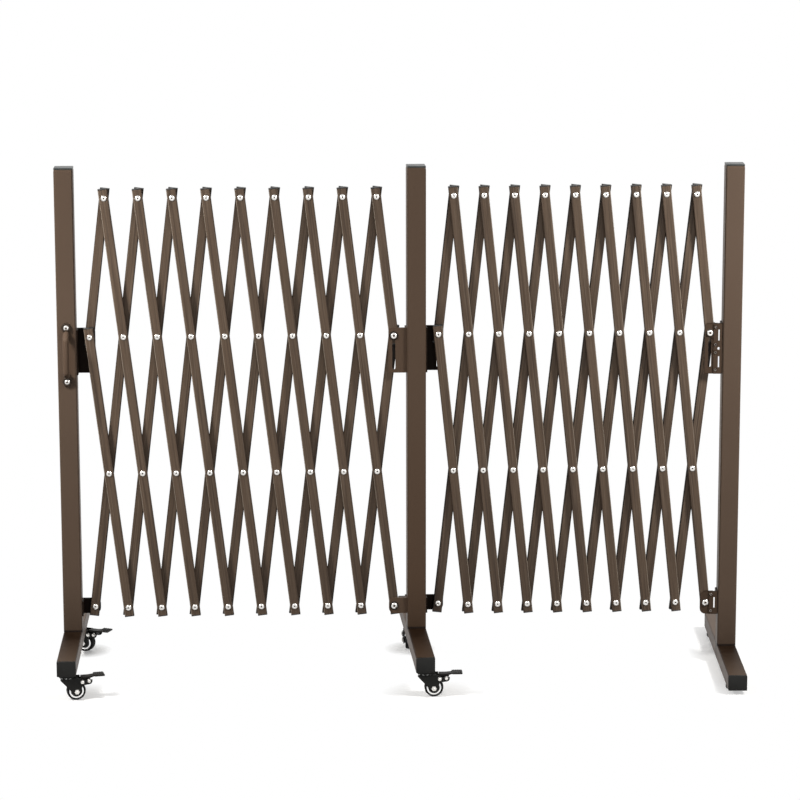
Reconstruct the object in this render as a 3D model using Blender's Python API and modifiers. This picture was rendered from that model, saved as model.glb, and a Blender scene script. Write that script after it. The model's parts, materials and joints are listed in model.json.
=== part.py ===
"""Expanding safety barrier: three posts on T feet, joined by two folding slat lattices.

Lengths are in metres and +Z is up. The floor is at height zero, X runs along the
barrier, and the front is on the -Y side. The origin is on the floor, midway between
the two ends of the barrier.
"""

import math

import bmesh
import bpy
from mathutils import Matrix, Vector

# Posts, feet and their plastic caps
POST_WIDTH = 0.040
POST_EDGE = 0.0025
BARRIER_HEIGHT = 1.092
FOOT_LENGTH = 0.500
FOOT_HEIGHT = 0.033
FOOT_EDGE = 0.002
CAP_THICKNESS = 0.0045
CAP_INSET = 0.0005
CAP_EDGE = 0.0018
MOULDED_EDGE = 0.0012
JOIN_DEPTH = 0.001
SEAT_GAP = 0.0003
MIDDLE_POST_TURN = math.radians(2.5)
RIGHT_POST_TURN = math.radians(-1.4)

# Rubber pads under the foot of the fixed post
PAD_HEIGHT = 0.009
PAD_RADIUS = 0.020
PAD_EDGE = 0.002
PAD_INSET = 0.052
PAD_SIDES = 12

# Lattice, with its rows of pivots numbered upwards from 0 and its columns from the left
PIVOT_SPACING = 0.2985
LOWER_PIVOT_HEIGHT = 0.1377
CELLS = 9
TOP_ROW = 3
SLOT_ROW = TOP_ROW - 1
TREE_STEP = 3
SLAT_WIDTH = 0.020
SLAT_THICKNESS = 0.010
SLAT_END = 0.020
SLAT_EDGE = 0.0008
LAYER_GAP = 0.0012
LEFT_ANGLE = math.radians(6.89)
RIGHT_ANGLE = math.radians(6.18)
FOLDED_ANGLE = math.radians(2.1)
OPEN_ANGLE = math.radians(29.0)

# Rivets through the slats, and the bolts that carry the slats on the brackets
RUNNING_CLEARANCE = 0.0003
SHANK_RADIUS = 0.003
RIVET_HEAD_RADIUS = 0.0057
RIVET_HEAD_HEIGHT = 0.0016
RIVET_TAIL_RADIUS = 0.0050
BOLT_HEAD_RADIUS = 0.0068
BOLT_HEAD_HEIGHT = 0.0026
HEAD_CROWN_SHARE = 0.6
PIN_SIDES = 8
HOLE_SIDES = 6
CUT_OVERRUN = 0.002

# Angle brackets on the posts' sides
BRACKET_REACH = 0.0275
BRACKET_MARGIN = 0.0115
BRACKET_THICKNESS = 0.003
BRACKET_GAP = 0.0006
FLANGE_DEPTH = 0.031
BEND_INSET = 0.0004
WELD_SINK = 0.002
BRACKET_CORNER = 0.008
UPPER_ABOVE_PIVOT = 0.013
SLOT_END_WALL = 0.0065
LOWER_HALF_HEIGHT = 0.017
ARC_STEPS = 4

# The taller two-layer brackets of the fixed post
WEB_THICKNESS = 0.0022
WEB_REACH = 0.0200
PLATE_START = 0.0112
SLIT_WIDTH = 0.003
SLIT_LENGTH = 0.024
SLIT_OFFSET = 0.0085
SLIT_SPACING = 0.058
TALL_ABOVE_PIVOT = 0.018
TALL_BELOW_SLOT = 0.014
TALL_LOWER_HALF_HEIGHT = 0.0255
CENTRE_HOLE_RADIUS = 0.0032
EYELET_RADIUS = 0.0026
EYELET_HEIGHT = 0.0008
EYELET_INSET = 0.006

# Pull handle on the left post
HANDLE_HEIGHT = 0.696
HANDLE_CENTRES = 0.116
HANDLE_BAR_RADIUS = 0.0065
HANDLE_STANDOFF = 0.030
HANDLE_BEND = 0.012
HANDLE_FOOT_OVERLAP = 0.0015
BOSS_RADIUS = 0.009
BOSS_HEIGHT = 0.006
SCREW_HEAD_RADIUS = 0.005
SCREW_HEAD_HEIGHT = 0.002
HANDLE_SIDES = 8
BEND_STEPS = 4

# Braked swivel casters
CASTER_HEIGHT = 0.055
FRONT_CASTER_INSET = 0.020
REAR_CASTER_INSET = 0.103
WHEEL_RADIUS = 0.020
WHEEL_WIDTH = 0.018
WHEEL_SIDES = 16
TYRE_DEPTH = 0.0052
TYRE_EDGE = 0.002
RIM_RECESS = 0.0012
HUB_RADIUS = 0.0085
AXLE_RADIUS = 0.003
TRAIL = 0.0185
SIDE_CLEARANCE = 0.0006
WHEEL_GAP = 0.003
CHEEK_THICKNESS = 0.0022
NUT_RADIUS = 0.0052
NUT_HEIGHT = 0.003
NUT_SIDES = 6
SWIVEL_RADIUS = 0.019
SWIVEL_RIM = 0.003
SWIVEL_HEIGHT = 0.010
SWIVEL_NECK_RADIUS = 0.013
SWIVEL_SIDES = 12
KING_PIN_RADIUS = 0.004
KING_PIN_LENGTH = 0.014
CROWN_THICKNESS = 0.003
CROWN_FRONT = 0.012
CROWN_BACK = 0.024
CHEEK_LIP = 0.0155
HUB_PLATE_RADIUS = 0.009
BRAKE_PIN_OUT = 0.0445
BRAKE_PIN_UP = 0.0415
BRAKE_PIN_RADIUS = 0.0018
BRAKE_EYE_RADIUS = 0.0070
BRAKE_BARREL_RADIUS = 0.0042
BRAKE_HEAD_RADIUS = 0.0042
BRAKE_HEAD_HEIGHT = 0.0015
BRAKE_TURN = math.radians(15.0)
BRAKE_NOSE_RADIUS = 0.0014
FORK_RIVET_OUT = 0.0305
FORK_RIVET_UP = 0.0400
LEVER_BACK = 0.0290
LEVER_UNDER = 0.0455
LEVER_THICKNESS = 0.0045
LEVER_NECK_WIDTH = 0.016
LEVER_DROP = 0.0012
PEDAL_START = 0.056
PEDAL_END = 0.0785
PEDAL_TOP = 0.0528
PEDAL_WIDTH = 0.025
PEDAL_THICKNESS = 0.0036
PEDAL_CORNER = 0.004
RIB_HEIGHT = 0.0012
RIB_WIDTH = 0.0016
RIB_COUNT = 4
LEFT_FRONT_HEADING = math.radians(12.0)
LEFT_REAR_HEADING = math.radians(-24.0)
MIDDLE_FRONT_HEADING = math.radians(0.0)
MIDDLE_REAR_HEADING = math.radians(-97.0)

FRONT = -1
BACK = 1
LEFT = -1
RIGHT = 1

BROWN = (0.105, 0.073, 0.055)
DARK_BROWN = (0.050, 0.032, 0.024)
BLACK = (0.012, 0.012, 0.013)
RUBBER_BLACK = (0.008, 0.008, 0.009)


# Scene, collections and materials


def clear_scene():
    """Remove the objects that the scene starts with."""
    for thing in list(bpy.data.objects):
        bpy.data.objects.remove(thing, do_unlink=True)


def new_collection(name):
    """Add a collection to the scene."""
    collection = bpy.data.collections.new(name)
    bpy.context.scene.collection.children.link(collection)
    return collection


def new_material(name, colour, metallic, roughness):
    """Make a Principled material of one colour."""
    material = bpy.data.materials.new(name)
    material.use_nodes = True
    shader = material.node_tree.nodes["Principled BSDF"]
    shader.inputs["Base Color"].default_value = (*colour, 1.0)
    shader.inputs["Metallic"].default_value = metallic
    shader.inputs["Roughness"].default_value = roughness
    return material


class Workshop:
    """The collections that hold the parts and the tools that shape them."""

    def __init__(self):
        self.parts = new_collection("safety_barrier")
        self.tools = new_collection("shaping_tools")

    def finish(self, part, name, colour, roughness):
        """Name a part, give it its own material and file it with the parts."""
        part.name = name
        part.data.materials.clear()
        part.data.materials.append(new_material(name + "_finish", colour, 0.0, roughness))
        for collection in list(part.users_collection):
            collection.objects.unlink(part)
        self.parts.objects.link(part)
        part.hide_render = False
        part.display_type = "TEXTURED"
        return part


# Basic solids


def mesh_object(shop, name, mesh):
    """File a mesh as a tool, until it is finished as a part."""
    thing = bpy.data.objects.new(name, mesh)
    shop.tools.objects.link(thing)
    thing.hide_render = True
    thing.display_type = "WIRE"
    return thing


def runs_along(line, axis):
    """Whether an edge of a box is parallel to an axis."""
    way = line.verts[1].co - line.verts[0].co
    return way.cross(axis).length < way.length / 2


def block(shop, name, low, high, edge=0.0, along=None):
    """A box between two corners, with a chamfer on its edges or on those along one axis."""
    low = Vector(low)
    high = Vector(high)
    mesh = bpy.data.meshes.new(name)
    shape = bmesh.new()
    bmesh.ops.create_cube(shape, size=1.0)
    bmesh.ops.scale(shape, vec=high - low, verts=shape.verts)
    bmesh.ops.translate(shape, vec=(low + high) / 2, verts=shape.verts)
    if edge > 0:
        edges = shape.edges[:]
        if along:
            edges = [line for line in edges if runs_along(line, Vector(along))]
        bmesh.ops.bevel(shape, geom=edges, offset=edge, segments=1, affect="EDGES", clamp_overlap=True)
    shape.to_mesh(mesh)
    shape.free()
    return mesh_object(shop, name, mesh)


def cross_rod(shop, name, place, radius, length, sides, turn=0.0):
    """A cylinder along Y, centred on a place."""
    mesh = bpy.data.meshes.new(name)
    shape = bmesh.new()
    bmesh.ops.create_cone(
        shape, cap_ends=True, segments=sides, radius1=radius, radius2=radius, depth=length
    )
    lay_down = Matrix.Rotation(math.pi / 2, 4, "X") @ Matrix.Rotation(turn, 4, "Z")
    bmesh.ops.transform(shape, matrix=Matrix.Translation(place) @ lay_down, verts=shape.verts)
    shape.to_mesh(mesh)
    shape.free()
    return mesh_object(shop, name, mesh)


def evaluated_mesh(thing):
    """The mesh of an object with its modifiers applied."""
    bpy.context.view_layer.update()
    graph = bpy.context.evaluated_depsgraph_get()
    return bpy.data.meshes.new_from_object(thing.evaluated_get(graph))


def turned(shop, name, profile, sides, closed=False, phase=0.0):
    """A solid turned about Z from a profile of (radius, height) points, top to bottom.

    An open profile starts and ends on the axis. A closed one makes a ring.
    """
    mesh = bpy.data.meshes.new(name)
    shape = bmesh.new()
    corners = [shape.verts.new((radius, 0.0, height)) for radius, height in profile]
    for first, second in zip(corners, corners[1:]):
        shape.edges.new((first, second))
    if closed:
        shape.edges.new((corners[-1], corners[0]))
    shape.to_mesh(mesh)
    shape.free()
    raw = mesh_object(shop, name + "_profile", mesh)
    screw = raw.modifiers.new("turn", "SCREW")
    screw.axis = "Z"
    screw.angle = 2 * math.pi
    screw.steps = sides
    screw.render_steps = sides
    screw.use_merge_vertices = True
    screw.merge_threshold = 0.00001
    solid = evaluated_mesh(raw)
    solid.transform(Matrix.Rotation(phase, 4, "Z"))
    bpy.data.objects.remove(raw, do_unlink=True)
    return mesh_object(shop, name, solid)


def cross_pin(shop, name, profile, x, z):
    """A turned pin along Y at (x, z), from a profile of (radius, y) points, front to back."""
    pin = turned(shop, name, [(radius, -depth) for radius, depth in profile], PIN_SIDES, phase=math.pi / PIN_SIDES)
    pin.data.transform(Matrix.Translation((x, 0.0, z)) @ Matrix.Rotation(math.pi / 2, 4, "X"))
    return pin


def arc(centre, radius, start, end, steps):
    """Points on an arc, from one angle to another."""
    points = []
    for step in range(steps + 1):
        angle = start + (end - start) * step / steps
        points.append((centre[0] + radius * math.cos(angle), centre[1] + radius * math.sin(angle)))
    return points


def welded_curve(shop, curve_object):
    """Turn a curve object into a mesh object with its caps joined on."""
    mesh = evaluated_mesh(curve_object)
    mesh.transform(curve_object.matrix_world)
    bpy.data.objects.remove(curve_object, do_unlink=True)
    shape = bmesh.new()
    shape.from_mesh(mesh)
    bmesh.ops.remove_doubles(shape, verts=shape.verts, dist=0.00001)
    bmesh.ops.recalc_face_normals(shape, faces=shape.faces)
    shape.to_mesh(mesh)
    shape.free()
    return mesh_object(shop, mesh.name, mesh)


def plate(shop, name, outline, front, back):
    """A flat outline of (x, z) points, extruded between two depths along Y."""
    data = bpy.data.curves.new(name, "CURVE")
    data.dimensions = "2D"
    data.fill_mode = "BOTH"
    data.extrude = (back - front) / 2
    spline = data.splines.new("POLY")
    spline.points.add(len(outline) - 1)
    for point, (x, z) in zip(spline.points, outline):
        point.co = (x, z, 0.0, 1.0)
    spline.use_cyclic_u = True
    flat = bpy.data.objects.new(name, data)
    shop.tools.objects.link(flat)
    flat.location = (0.0, (front + back) / 2, 0.0)
    flat.rotation_euler = (math.pi / 2, 0.0, 0.0)
    return welded_curve(shop, flat)


def combine(target, tools, operation):
    """Add a Boolean modifier for each tool."""
    for tool in tools:
        modifier = target.modifiers.new(tool.name, "BOOLEAN")
        modifier.operation = operation
        modifier.solver = "EXACT"
        modifier.object = tool
    return target


def slot_outline(x, top, bottom, radius):
    """The outline of an upright slot with round ends, between two end centres."""
    upper = arc((x, top), radius, 0.0, math.pi, ARC_STEPS)
    lower = arc((x, bottom), radius, math.pi, 2 * math.pi, ARC_STEPS)
    return upper + lower


# Layout of the lattice


def section_span(angle):
    """Distance between the centres of the posts at the ends of a section."""
    return POST_WIDTH + 2 * BRACKET_REACH + 2 * CELLS * PIVOT_SPACING * math.sin(angle)


def foot_half_span(turn):
    """Half of what a foot takes up along X when its post is turned about its own axis."""
    return FOOT_LENGTH / 2 * math.sin(abs(turn)) + POST_WIDTH / 2 * math.cos(turn)


SPAN = section_span(LEFT_ANGLE) + section_span(RIGHT_ANGLE)
LEFT_POST_X = (POST_WIDTH / 2 - SPAN - foot_half_span(RIGHT_POST_TURN)) / 2
MIDDLE_POST_X = LEFT_POST_X + section_span(LEFT_ANGLE)
RIGHT_POST_X = LEFT_POST_X + SPAN
POST_TURNS = {MIDDLE_POST_X: MIDDLE_POST_TURN, RIGHT_POST_X: RIGHT_POST_TURN}
LAYER_FACE = LAYER_GAP / 2 + SLAT_THICKNESS
PLATE_NEAR = LAYER_FACE + BRACKET_GAP
PLATE_FAR = PLATE_NEAR + BRACKET_THICKNESS
FASTENED_END = PLATE_FAR + RUNNING_CLEARANCE
HOLE_RADIUS = (SHANK_RADIUS + RUNNING_CLEARANCE) / math.cos(math.pi / HOLE_SIDES)
SLOT_HALF_WIDTH = SHANK_RADIUS + RUNNING_CLEARANCE


def row_height(angle, row):
    """Height of a row of pivots."""
    return LOWER_PIVOT_HEIGHT + row * PIVOT_SPACING * math.cos(angle)


def column_x(start, angle, column):
    """Place of a column of pivots along a section that starts at a post's centre."""
    first = start + POST_WIDTH / 2 + BRACKET_REACH
    return first + 2 * PIVOT_SPACING * math.sin(angle) * column


def slat_column(layer, foot, row):
    """Column where a slat, whose line meets the lowest row at column foot, meets a row."""
    return foot + layer * row / 2


def slat_rows(layer, foot):
    """Rows at which a slat has a pivot: those between the first and last columns."""
    return [row for row in range(TOP_ROW + 1) if 0 <= slat_column(layer, foot, row) <= CELLS]


def hinge_row(side, layer, foot):
    """Row of the pivot that a slat turns on, when the section is seen from the middle post."""
    rows = slat_rows(layer, foot)
    if rows[0] == SLOT_ROW:
        return TOP_ROW
    if foot % TREE_STEP == 0:
        return 0 if layer == side else TOP_ROW
    return (-layer * foot) % TREE_STEP


# Pins of the lattice


def head(radius, face, way, height):
    """Profile points of a crowned head that stands on a face, from its rim outwards."""
    crown = face + way * height
    return [(radius, face), (radius * HEAD_CROWN_SHARE, crown), (0.0, crown)]


def pin_profile(front_radius, front_face, front_height, back_radius, back_face, back_height):
    """A shank with a crowned head at each end, as (radius, y) points from front to back."""
    front = head(front_radius, front_face, FRONT, front_height)
    back = head(back_radius, back_face, BACK, back_height)
    return front[::-1] + [(SHANK_RADIUS, front_face), (SHANK_RADIUS, back_face)] + back


def rivet_profile():
    """A rivet that turns with the front slat."""
    return pin_profile(
        RIVET_HEAD_RADIUS, -LAYER_FACE + JOIN_DEPTH / 2, RIVET_HEAD_HEIGHT + JOIN_DEPTH / 2,
        RIVET_TAIL_RADIUS, LAYER_FACE + RUNNING_CLEARANCE, RIVET_HEAD_HEIGHT,
    )


def rear_slot_bolt_profile():
    """A bolt of the front slat that runs in the slot of a bracket behind the lattice."""
    return pin_profile(
        RIVET_HEAD_RADIUS, -LAYER_FACE + JOIN_DEPTH / 2, RIVET_HEAD_HEIGHT + JOIN_DEPTH / 2,
        BOLT_HEAD_RADIUS, FASTENED_END, BOLT_HEAD_HEIGHT,
    )


def front_slot_bolt_profile():
    """A bolt of the front slat that runs in the slot of a bracket before the lattice."""
    return pin_profile(
        BOLT_HEAD_RADIUS, -FASTENED_END, BOLT_HEAD_HEIGHT,
        RIVET_TAIL_RADIUS, LAYER_FACE + RUNNING_CLEARANCE, RIVET_HEAD_HEIGHT,
    )


def rear_pivot_bolt_profile():
    """A bolt of a back slat that turns in a bracket behind the lattice."""
    return pin_profile(
        RIVET_HEAD_RADIUS, LAYER_GAP / 2 + JOIN_DEPTH / 2, RIVET_HEAD_HEIGHT + JOIN_DEPTH / 2,
        BOLT_HEAD_RADIUS, FASTENED_END, BOLT_HEAD_HEIGHT,
    )


def front_pivot_bolt_profile():
    """A bolt of a front slat that turns in a bracket before the lattice."""
    return pin_profile(
        BOLT_HEAD_RADIUS, -FASTENED_END, BOLT_HEAD_HEIGHT,
        RIVET_TAIL_RADIUS, -LAYER_GAP / 2 - JOIN_DEPTH / 2, RIVET_HEAD_HEIGHT,
    )


def front_slat_pin(column, row):
    """Profile of the pin that a front slat carries at a pivot."""
    if row == SLOT_ROW and column == 0:
        return rear_slot_bolt_profile()
    if row == SLOT_ROW and column == CELLS:
        return front_slot_bolt_profile()
    if row == 0 and column == CELLS:
        return front_pivot_bolt_profile()
    return rivet_profile()


# Slats


def slat_bar(shop, name, layer, rows):
    """The plain bar of a slat, upright, with the lowest row of pivots at the origin."""
    depths = sorted((layer * LAYER_GAP / 2, layer * LAYER_FACE))
    bottom = rows[0] * PIVOT_SPACING - SLAT_END
    top = rows[-1] * PIVOT_SPACING + SLAT_END
    low = (-SLAT_WIDTH / 2, depths[0], bottom)
    high = (SLAT_WIDTH / 2, depths[1], top)
    return block(shop, name, low, high, SLAT_EDGE, along=(0.0, 0.0, 1.0))


def front_slat_mesh(shop, foot):
    """A front slat with the rivets and bolts that turn with it."""
    rows = slat_rows(FRONT, foot)
    bar = slat_bar(shop, "front_bar", FRONT, rows)
    pins = []
    for row in rows:
        profile = front_slat_pin(slat_column(FRONT, foot, row), row)
        pins.append(cross_pin(shop, "front_pin", profile, 0.0, row * PIVOT_SPACING))
    return evaluated_mesh(combine(bar, pins, "UNION"))


def back_slat_mesh(shop, foot):
    """A back slat with a hole for each rivet, and its own bolt where it stands on a bracket."""
    rows = slat_rows(BACK, foot)
    bar = slat_bar(shop, "back_bar", BACK, rows)
    middle = (LAYER_GAP / 2 + LAYER_FACE) / 2
    length = SLAT_THICKNESS + 2 * CUT_OVERRUN
    for row in rows:
        height = row * PIVOT_SPACING
        if row == 0 and foot == 0:
            bolt = cross_pin(shop, "back_bolt", rear_pivot_bolt_profile(), 0.0, height)
            combine(bar, [bolt], "UNION")
        else:
            place = (0.0, middle, height)
            drill = cross_rod(shop, "back_drill", place, HOLE_RADIUS, length, HOLE_SIDES)
            combine(bar, [drill], "DIFFERENCE")
    return evaluated_mesh(bar)


def slat_kind(layer, foot):
    """Slats with the same pivots and the same fastenings share one shape."""
    special = foot in (0, CELLS)
    return (layer, tuple(slat_rows(layer, foot)), special)


def place_slat(shop, shapes, side, layer, foot):
    """Place one slat, parented to an empty on the pivot that it turns on."""
    start = LEFT_POST_X if side == LEFT else MIDDLE_POST_X
    angle = LEFT_ANGLE if side == LEFT else RIGHT_ANGLE
    kind = slat_kind(layer, foot)
    if kind not in shapes:
        builder = front_slat_mesh if layer == FRONT else back_slat_mesh
        shapes[kind] = builder(shop, foot)
    side_name = "left" if side == LEFT else "right"
    layer_name = "front" if layer == FRONT else "back"
    number = foot if layer == FRONT else foot + 2
    name = f"{side_name}_{layer_name}_slat_{number:02d}"
    row = hinge_row(side, layer, foot)
    pivot = bpy.data.objects.new(name + "_pivot", None)
    pivot.location = (
        column_x(start, angle, slat_column(layer, foot, row)), 0.0, row_height(angle, row),
    )
    pivot.rotation_euler = (0.0, layer * angle, 0.0)
    shop.parts.objects.link(pivot)
    slat = mesh_object(shop, name, shapes[kind].copy())
    shop.finish(slat, name, BROWN, 0.45)
    slat.parent = pivot
    slat.location = (0.0, 0.0, -row * PIVOT_SPACING)


def build_lattice(shop, side):
    """The twenty slats of one section."""
    shapes = {}
    for number in range(1, CELLS + 2):
        place_slat(shop, shapes, side, FRONT, number)
        place_slat(shop, shapes, side, BACK, number - 2)


# Brackets


def folded_slot_height():
    """Height of the slot bolt when the section is folded."""
    return row_height(FOLDED_ANGLE, SLOT_ROW)


def open_slot_height():
    """Height of the slot bolt when the section is fully open."""
    return row_height(OPEN_ANGLE, SLOT_ROW)


def bracket_depths(layer):
    """Front and back of a bracket's plate, before or behind the lattice."""
    return sorted((layer * PLATE_NEAR, layer * PLATE_FAR))


def turned_with_post(thing, post_x):
    """Turn a solid about the axis of its post, as far as that post is turned."""
    turn = Matrix.Rotation(POST_TURNS.get(post_x, 0.0), 4, "Z")
    axis = Matrix.Translation((post_x, 0.0, 0.0))
    thing.data.transform(axis @ turn @ axis.inverted())
    return thing


def post_place(post_x, depth, height):
    """A place under a post's foot, at a depth along the foot."""
    turn = POST_TURNS.get(post_x, 0.0)
    return (post_x - depth * math.sin(turn), depth * math.cos(turn), height)


def flange(shop, name, post_x, side, layer, bottom, top, sink):
    """The part of a bracket that lies on the post's side, from the plate across the post."""
    inner = post_x + side * (POST_WIDTH / 2 - sink)
    outer = post_x + side * (POST_WIDTH / 2 + BRACKET_THICKNESS)
    near = layer * (PLATE_FAR - BEND_INSET)
    far = layer * (PLATE_FAR - FLANGE_DEPTH)
    low = (min(inner, outer), min(near, far), bottom + BEND_INSET)
    high = (max(inner, outer), max(near, far), top - BEND_INSET)
    return turned_with_post(block(shop, name, low, high), post_x)


def upper_plate(shop, post_x, side, layer, start, above, below):
    """The upper bracket's plate, rounded at its outer top corner, with its upright slot."""
    bolt_x = post_x + side * (POST_WIDTH / 2 + BRACKET_REACH)
    inner = post_x + side * (POST_WIDTH / 2 + start)
    outer = bolt_x + side * BRACKET_MARGIN
    top = folded_slot_height() + above
    bottom = open_slot_height() - SLOT_HALF_WIDTH - below
    centre = (outer - side * BRACKET_CORNER, top - BRACKET_CORNER)
    first = 0.0 if side == RIGHT else math.pi
    corner = arc(centre, BRACKET_CORNER, first, math.pi / 2, ARC_STEPS)
    outline = [(inner, bottom), (outer, bottom)] + corner + [(inner, top)]
    depths = bracket_depths(layer)
    shape = plate(shop, "upper_plate", outline, *depths)
    hole = slot_outline(bolt_x, folded_slot_height(), open_slot_height(), SLOT_HALF_WIDTH)
    cut = plate(shop, "upper_slot", hole, depths[0] - CUT_OVERRUN, depths[1] + CUT_OVERRUN)
    return shape, cut, bottom, top


def lower_plate(shop, post_x, side, layer, start, half_height):
    """The lower bracket's plate, with a round outer end and its pivot hole."""
    bolt_x = post_x + side * (POST_WIDTH / 2 + BRACKET_REACH)
    inner = post_x + side * (POST_WIDTH / 2 + start)
    outer = bolt_x + side * BRACKET_MARGIN
    corner = BRACKET_MARGIN
    low_centre = (outer - side * corner, LOWER_PIVOT_HEIGHT - half_height + corner)
    high_centre = (outer - side * corner, LOWER_PIVOT_HEIGHT + half_height - corner)
    level = 0.0 if side == RIGHT else math.pi
    down = -math.pi / 2 if side == RIGHT else 3 * math.pi / 2
    outline = [(inner, LOWER_PIVOT_HEIGHT - half_height)]
    outline += arc(low_centre, corner, down, level, ARC_STEPS)
    outline += arc(high_centre, corner, level, math.pi / 2, ARC_STEPS)
    outline += [(inner, LOWER_PIVOT_HEIGHT + half_height)]
    depths = bracket_depths(layer)
    shape = plate(shop, "lower_plate", outline, *depths)
    place = (bolt_x, (depths[0] + depths[1]) / 2, LOWER_PIVOT_HEIGHT)
    length = BRACKET_THICKNESS + 2 * CUT_OVERRUN
    cut = cross_rod(shop, "lower_hole", place, HOLE_RADIUS, length, HOLE_SIDES)
    return shape, cut


def post_brackets(shop, post_x, side, layer):
    """The two brackets welded to one side of a post, as (joined solids, cuts)."""
    upper, slot, bottom, top = upper_plate(
        shop, post_x, side, layer, -WELD_SINK, UPPER_ABOVE_PIVOT, SLOT_END_WALL
    )
    lower, hole = lower_plate(shop, post_x, side, layer, -WELD_SINK, LOWER_HALF_HEIGHT)
    low_edge = LOWER_PIVOT_HEIGHT - LOWER_HALF_HEIGHT
    high_edge = LOWER_PIVOT_HEIGHT + LOWER_HALF_HEIGHT
    upper_flange = flange(shop, "upper_flange", post_x, side, layer, bottom, top, JOIN_DEPTH)
    lower_flange = flange(shop, "lower_flange", post_x, side, layer, low_edge, high_edge, JOIN_DEPTH)
    return [upper_flange, lower_flange, upper, lower], [slot, hole]


def bracket_web(shop, post_x, side, layer, bottom, top):
    """The web of a two-layer bracket, which carries the slotted plate on its inner face."""
    near = layer * (PLATE_FAR - JOIN_DEPTH / 2)
    far = layer * (PLATE_FAR + WEB_THICKNESS)
    inner = post_x + side * (POST_WIDTH / 2 + BRACKET_THICKNESS / 2)
    outer = post_x + side * (POST_WIDTH / 2 + WEB_REACH)
    low = (min(inner, outer), min(near, far), bottom)
    high = (max(inner, outer), max(near, far), top)
    return block(shop, "bracket_web", low, high)


def web_flange(shop, post_x, side, layer, bottom, top):
    """The flange of a two-layer bracket, seated on the post's side."""
    inner = post_x + side * (POST_WIDTH / 2 + SEAT_GAP)
    outer = inner + side * BRACKET_THICKNESS
    near = layer * (PLATE_FAR + WEB_THICKNESS - BEND_INSET)
    far = layer * (PLATE_FAR - FLANGE_DEPTH)
    low = (min(inner, outer), min(near, far), bottom + BEND_INSET)
    high = (max(inner, outer), max(near, far), top - BEND_INSET)
    return turned_with_post(block(shop, "web_flange", low, high), post_x)


def web_cut(shop, x, layer, bottom, top):
    """A narrow upright slit through a bracket's web."""
    depth = layer * (PLATE_FAR + WEB_THICKNESS / 2)
    reach = WEB_THICKNESS / 2 + CUT_OVERRUN
    low = (x - SLIT_WIDTH / 2, depth - reach, bottom)
    high = (x + SLIT_WIDTH / 2, depth + reach, top)
    return block(shop, "web_slit", low, high)


def eyelets(shop, x, layer, heights):
    """The heads of the small hollow rivets that hold a bracket's two layers together."""
    face = layer * (PLATE_FAR + WEB_THICKNESS)
    middle = face + layer * (EYELET_HEIGHT - JOIN_DEPTH) / 2
    length = EYELET_HEIGHT + JOIN_DEPTH
    return [
        cross_rod(shop, "eyelet", (x, middle, height), EYELET_RADIUS, length, PIN_SIDES)
        for height in heights
    ]


def tall_upper_bracket(shop, post_x, side, layer):
    """The two-layer upper bracket of the fixed post."""
    shape, slot, bottom, top = upper_plate(
        shop, post_x, side, layer, PLATE_START, TALL_ABOVE_PIVOT, TALL_BELOW_SLOT
    )
    web = bracket_web(shop, post_x, side, layer, bottom, top)
    back = web_flange(shop, post_x, side, layer, bottom, top)
    middle = (bottom + top) / 2
    slit_x = post_x + side * (POST_WIDTH / 2 + SLIT_OFFSET)
    slits = []
    for way in (-1, 1):
        centre = middle + way * SLIT_SPACING / 2
        slits.append(web_cut(shop, slit_x, layer, centre - SLIT_LENGTH / 2, centre + SLIT_LENGTH / 2))
    hole_place = (slit_x, layer * PLATE_FAR, middle)
    hole_length = 2 * (WEB_THICKNESS + CUT_OVERRUN)
    slits.append(cross_rod(shop, "web_hole", hole_place, CENTRE_HOLE_RADIUS, hole_length, PIN_SIDES))
    eyelet_x = post_x + side * (POST_WIDTH / 2 + (PLATE_START + WEB_REACH) / 2)
    inset = EYELET_INSET + EYELET_RADIUS
    heights = [bottom + inset, middle - inset, middle + inset, top - inset]
    joined = [web, back] + eyelets(shop, eyelet_x, layer, heights)
    combine(shape, joined, "UNION")
    combine(shape, [slot] + slits, "DIFFERENCE")
    return shop.finish(shape, "right_upper_bracket", BROWN, 0.45)


def tall_lower_bracket(shop, post_x, side, layer):
    """The two-layer lower bracket of the fixed post."""
    half = TALL_LOWER_HALF_HEIGHT
    shape, hole = lower_plate(shop, post_x, side, layer, PLATE_START, half)
    bottom = LOWER_PIVOT_HEIGHT - half
    top = LOWER_PIVOT_HEIGHT + half
    web = bracket_web(shop, post_x, side, layer, bottom, top)
    back = web_flange(shop, post_x, side, layer, bottom, top)
    slit_x = post_x + side * (POST_WIDTH / 2 + SLIT_OFFSET)
    slit = web_cut(
        shop, slit_x, layer, LOWER_PIVOT_HEIGHT - SLIT_LENGTH / 2, LOWER_PIVOT_HEIGHT + SLIT_LENGTH / 2
    )
    eyelet_x = post_x + side * (POST_WIDTH / 2 + (PLATE_START + WEB_REACH) / 2)
    inset = EYELET_INSET + EYELET_RADIUS / 2
    joined = [web, back] + eyelets(shop, eyelet_x, layer, [bottom + inset, top - inset])
    combine(shape, joined, "UNION")
    combine(shape, [hole, slit], "DIFFERENCE")
    return shop.finish(shape, "right_lower_bracket", BROWN, 0.45)


# Posts and feet


def foot_tube(shop, post_x, underside):
    """The rectangular tube of a T foot, along Y."""
    half = FOOT_LENGTH / 2 - CAP_THICKNESS
    low = (post_x - POST_WIDTH / 2, -half, underside)
    high = (post_x + POST_WIDTH / 2, half, underside + FOOT_HEIGHT)
    return block(shop, "foot_tube", low, high, FOOT_EDGE)


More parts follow.
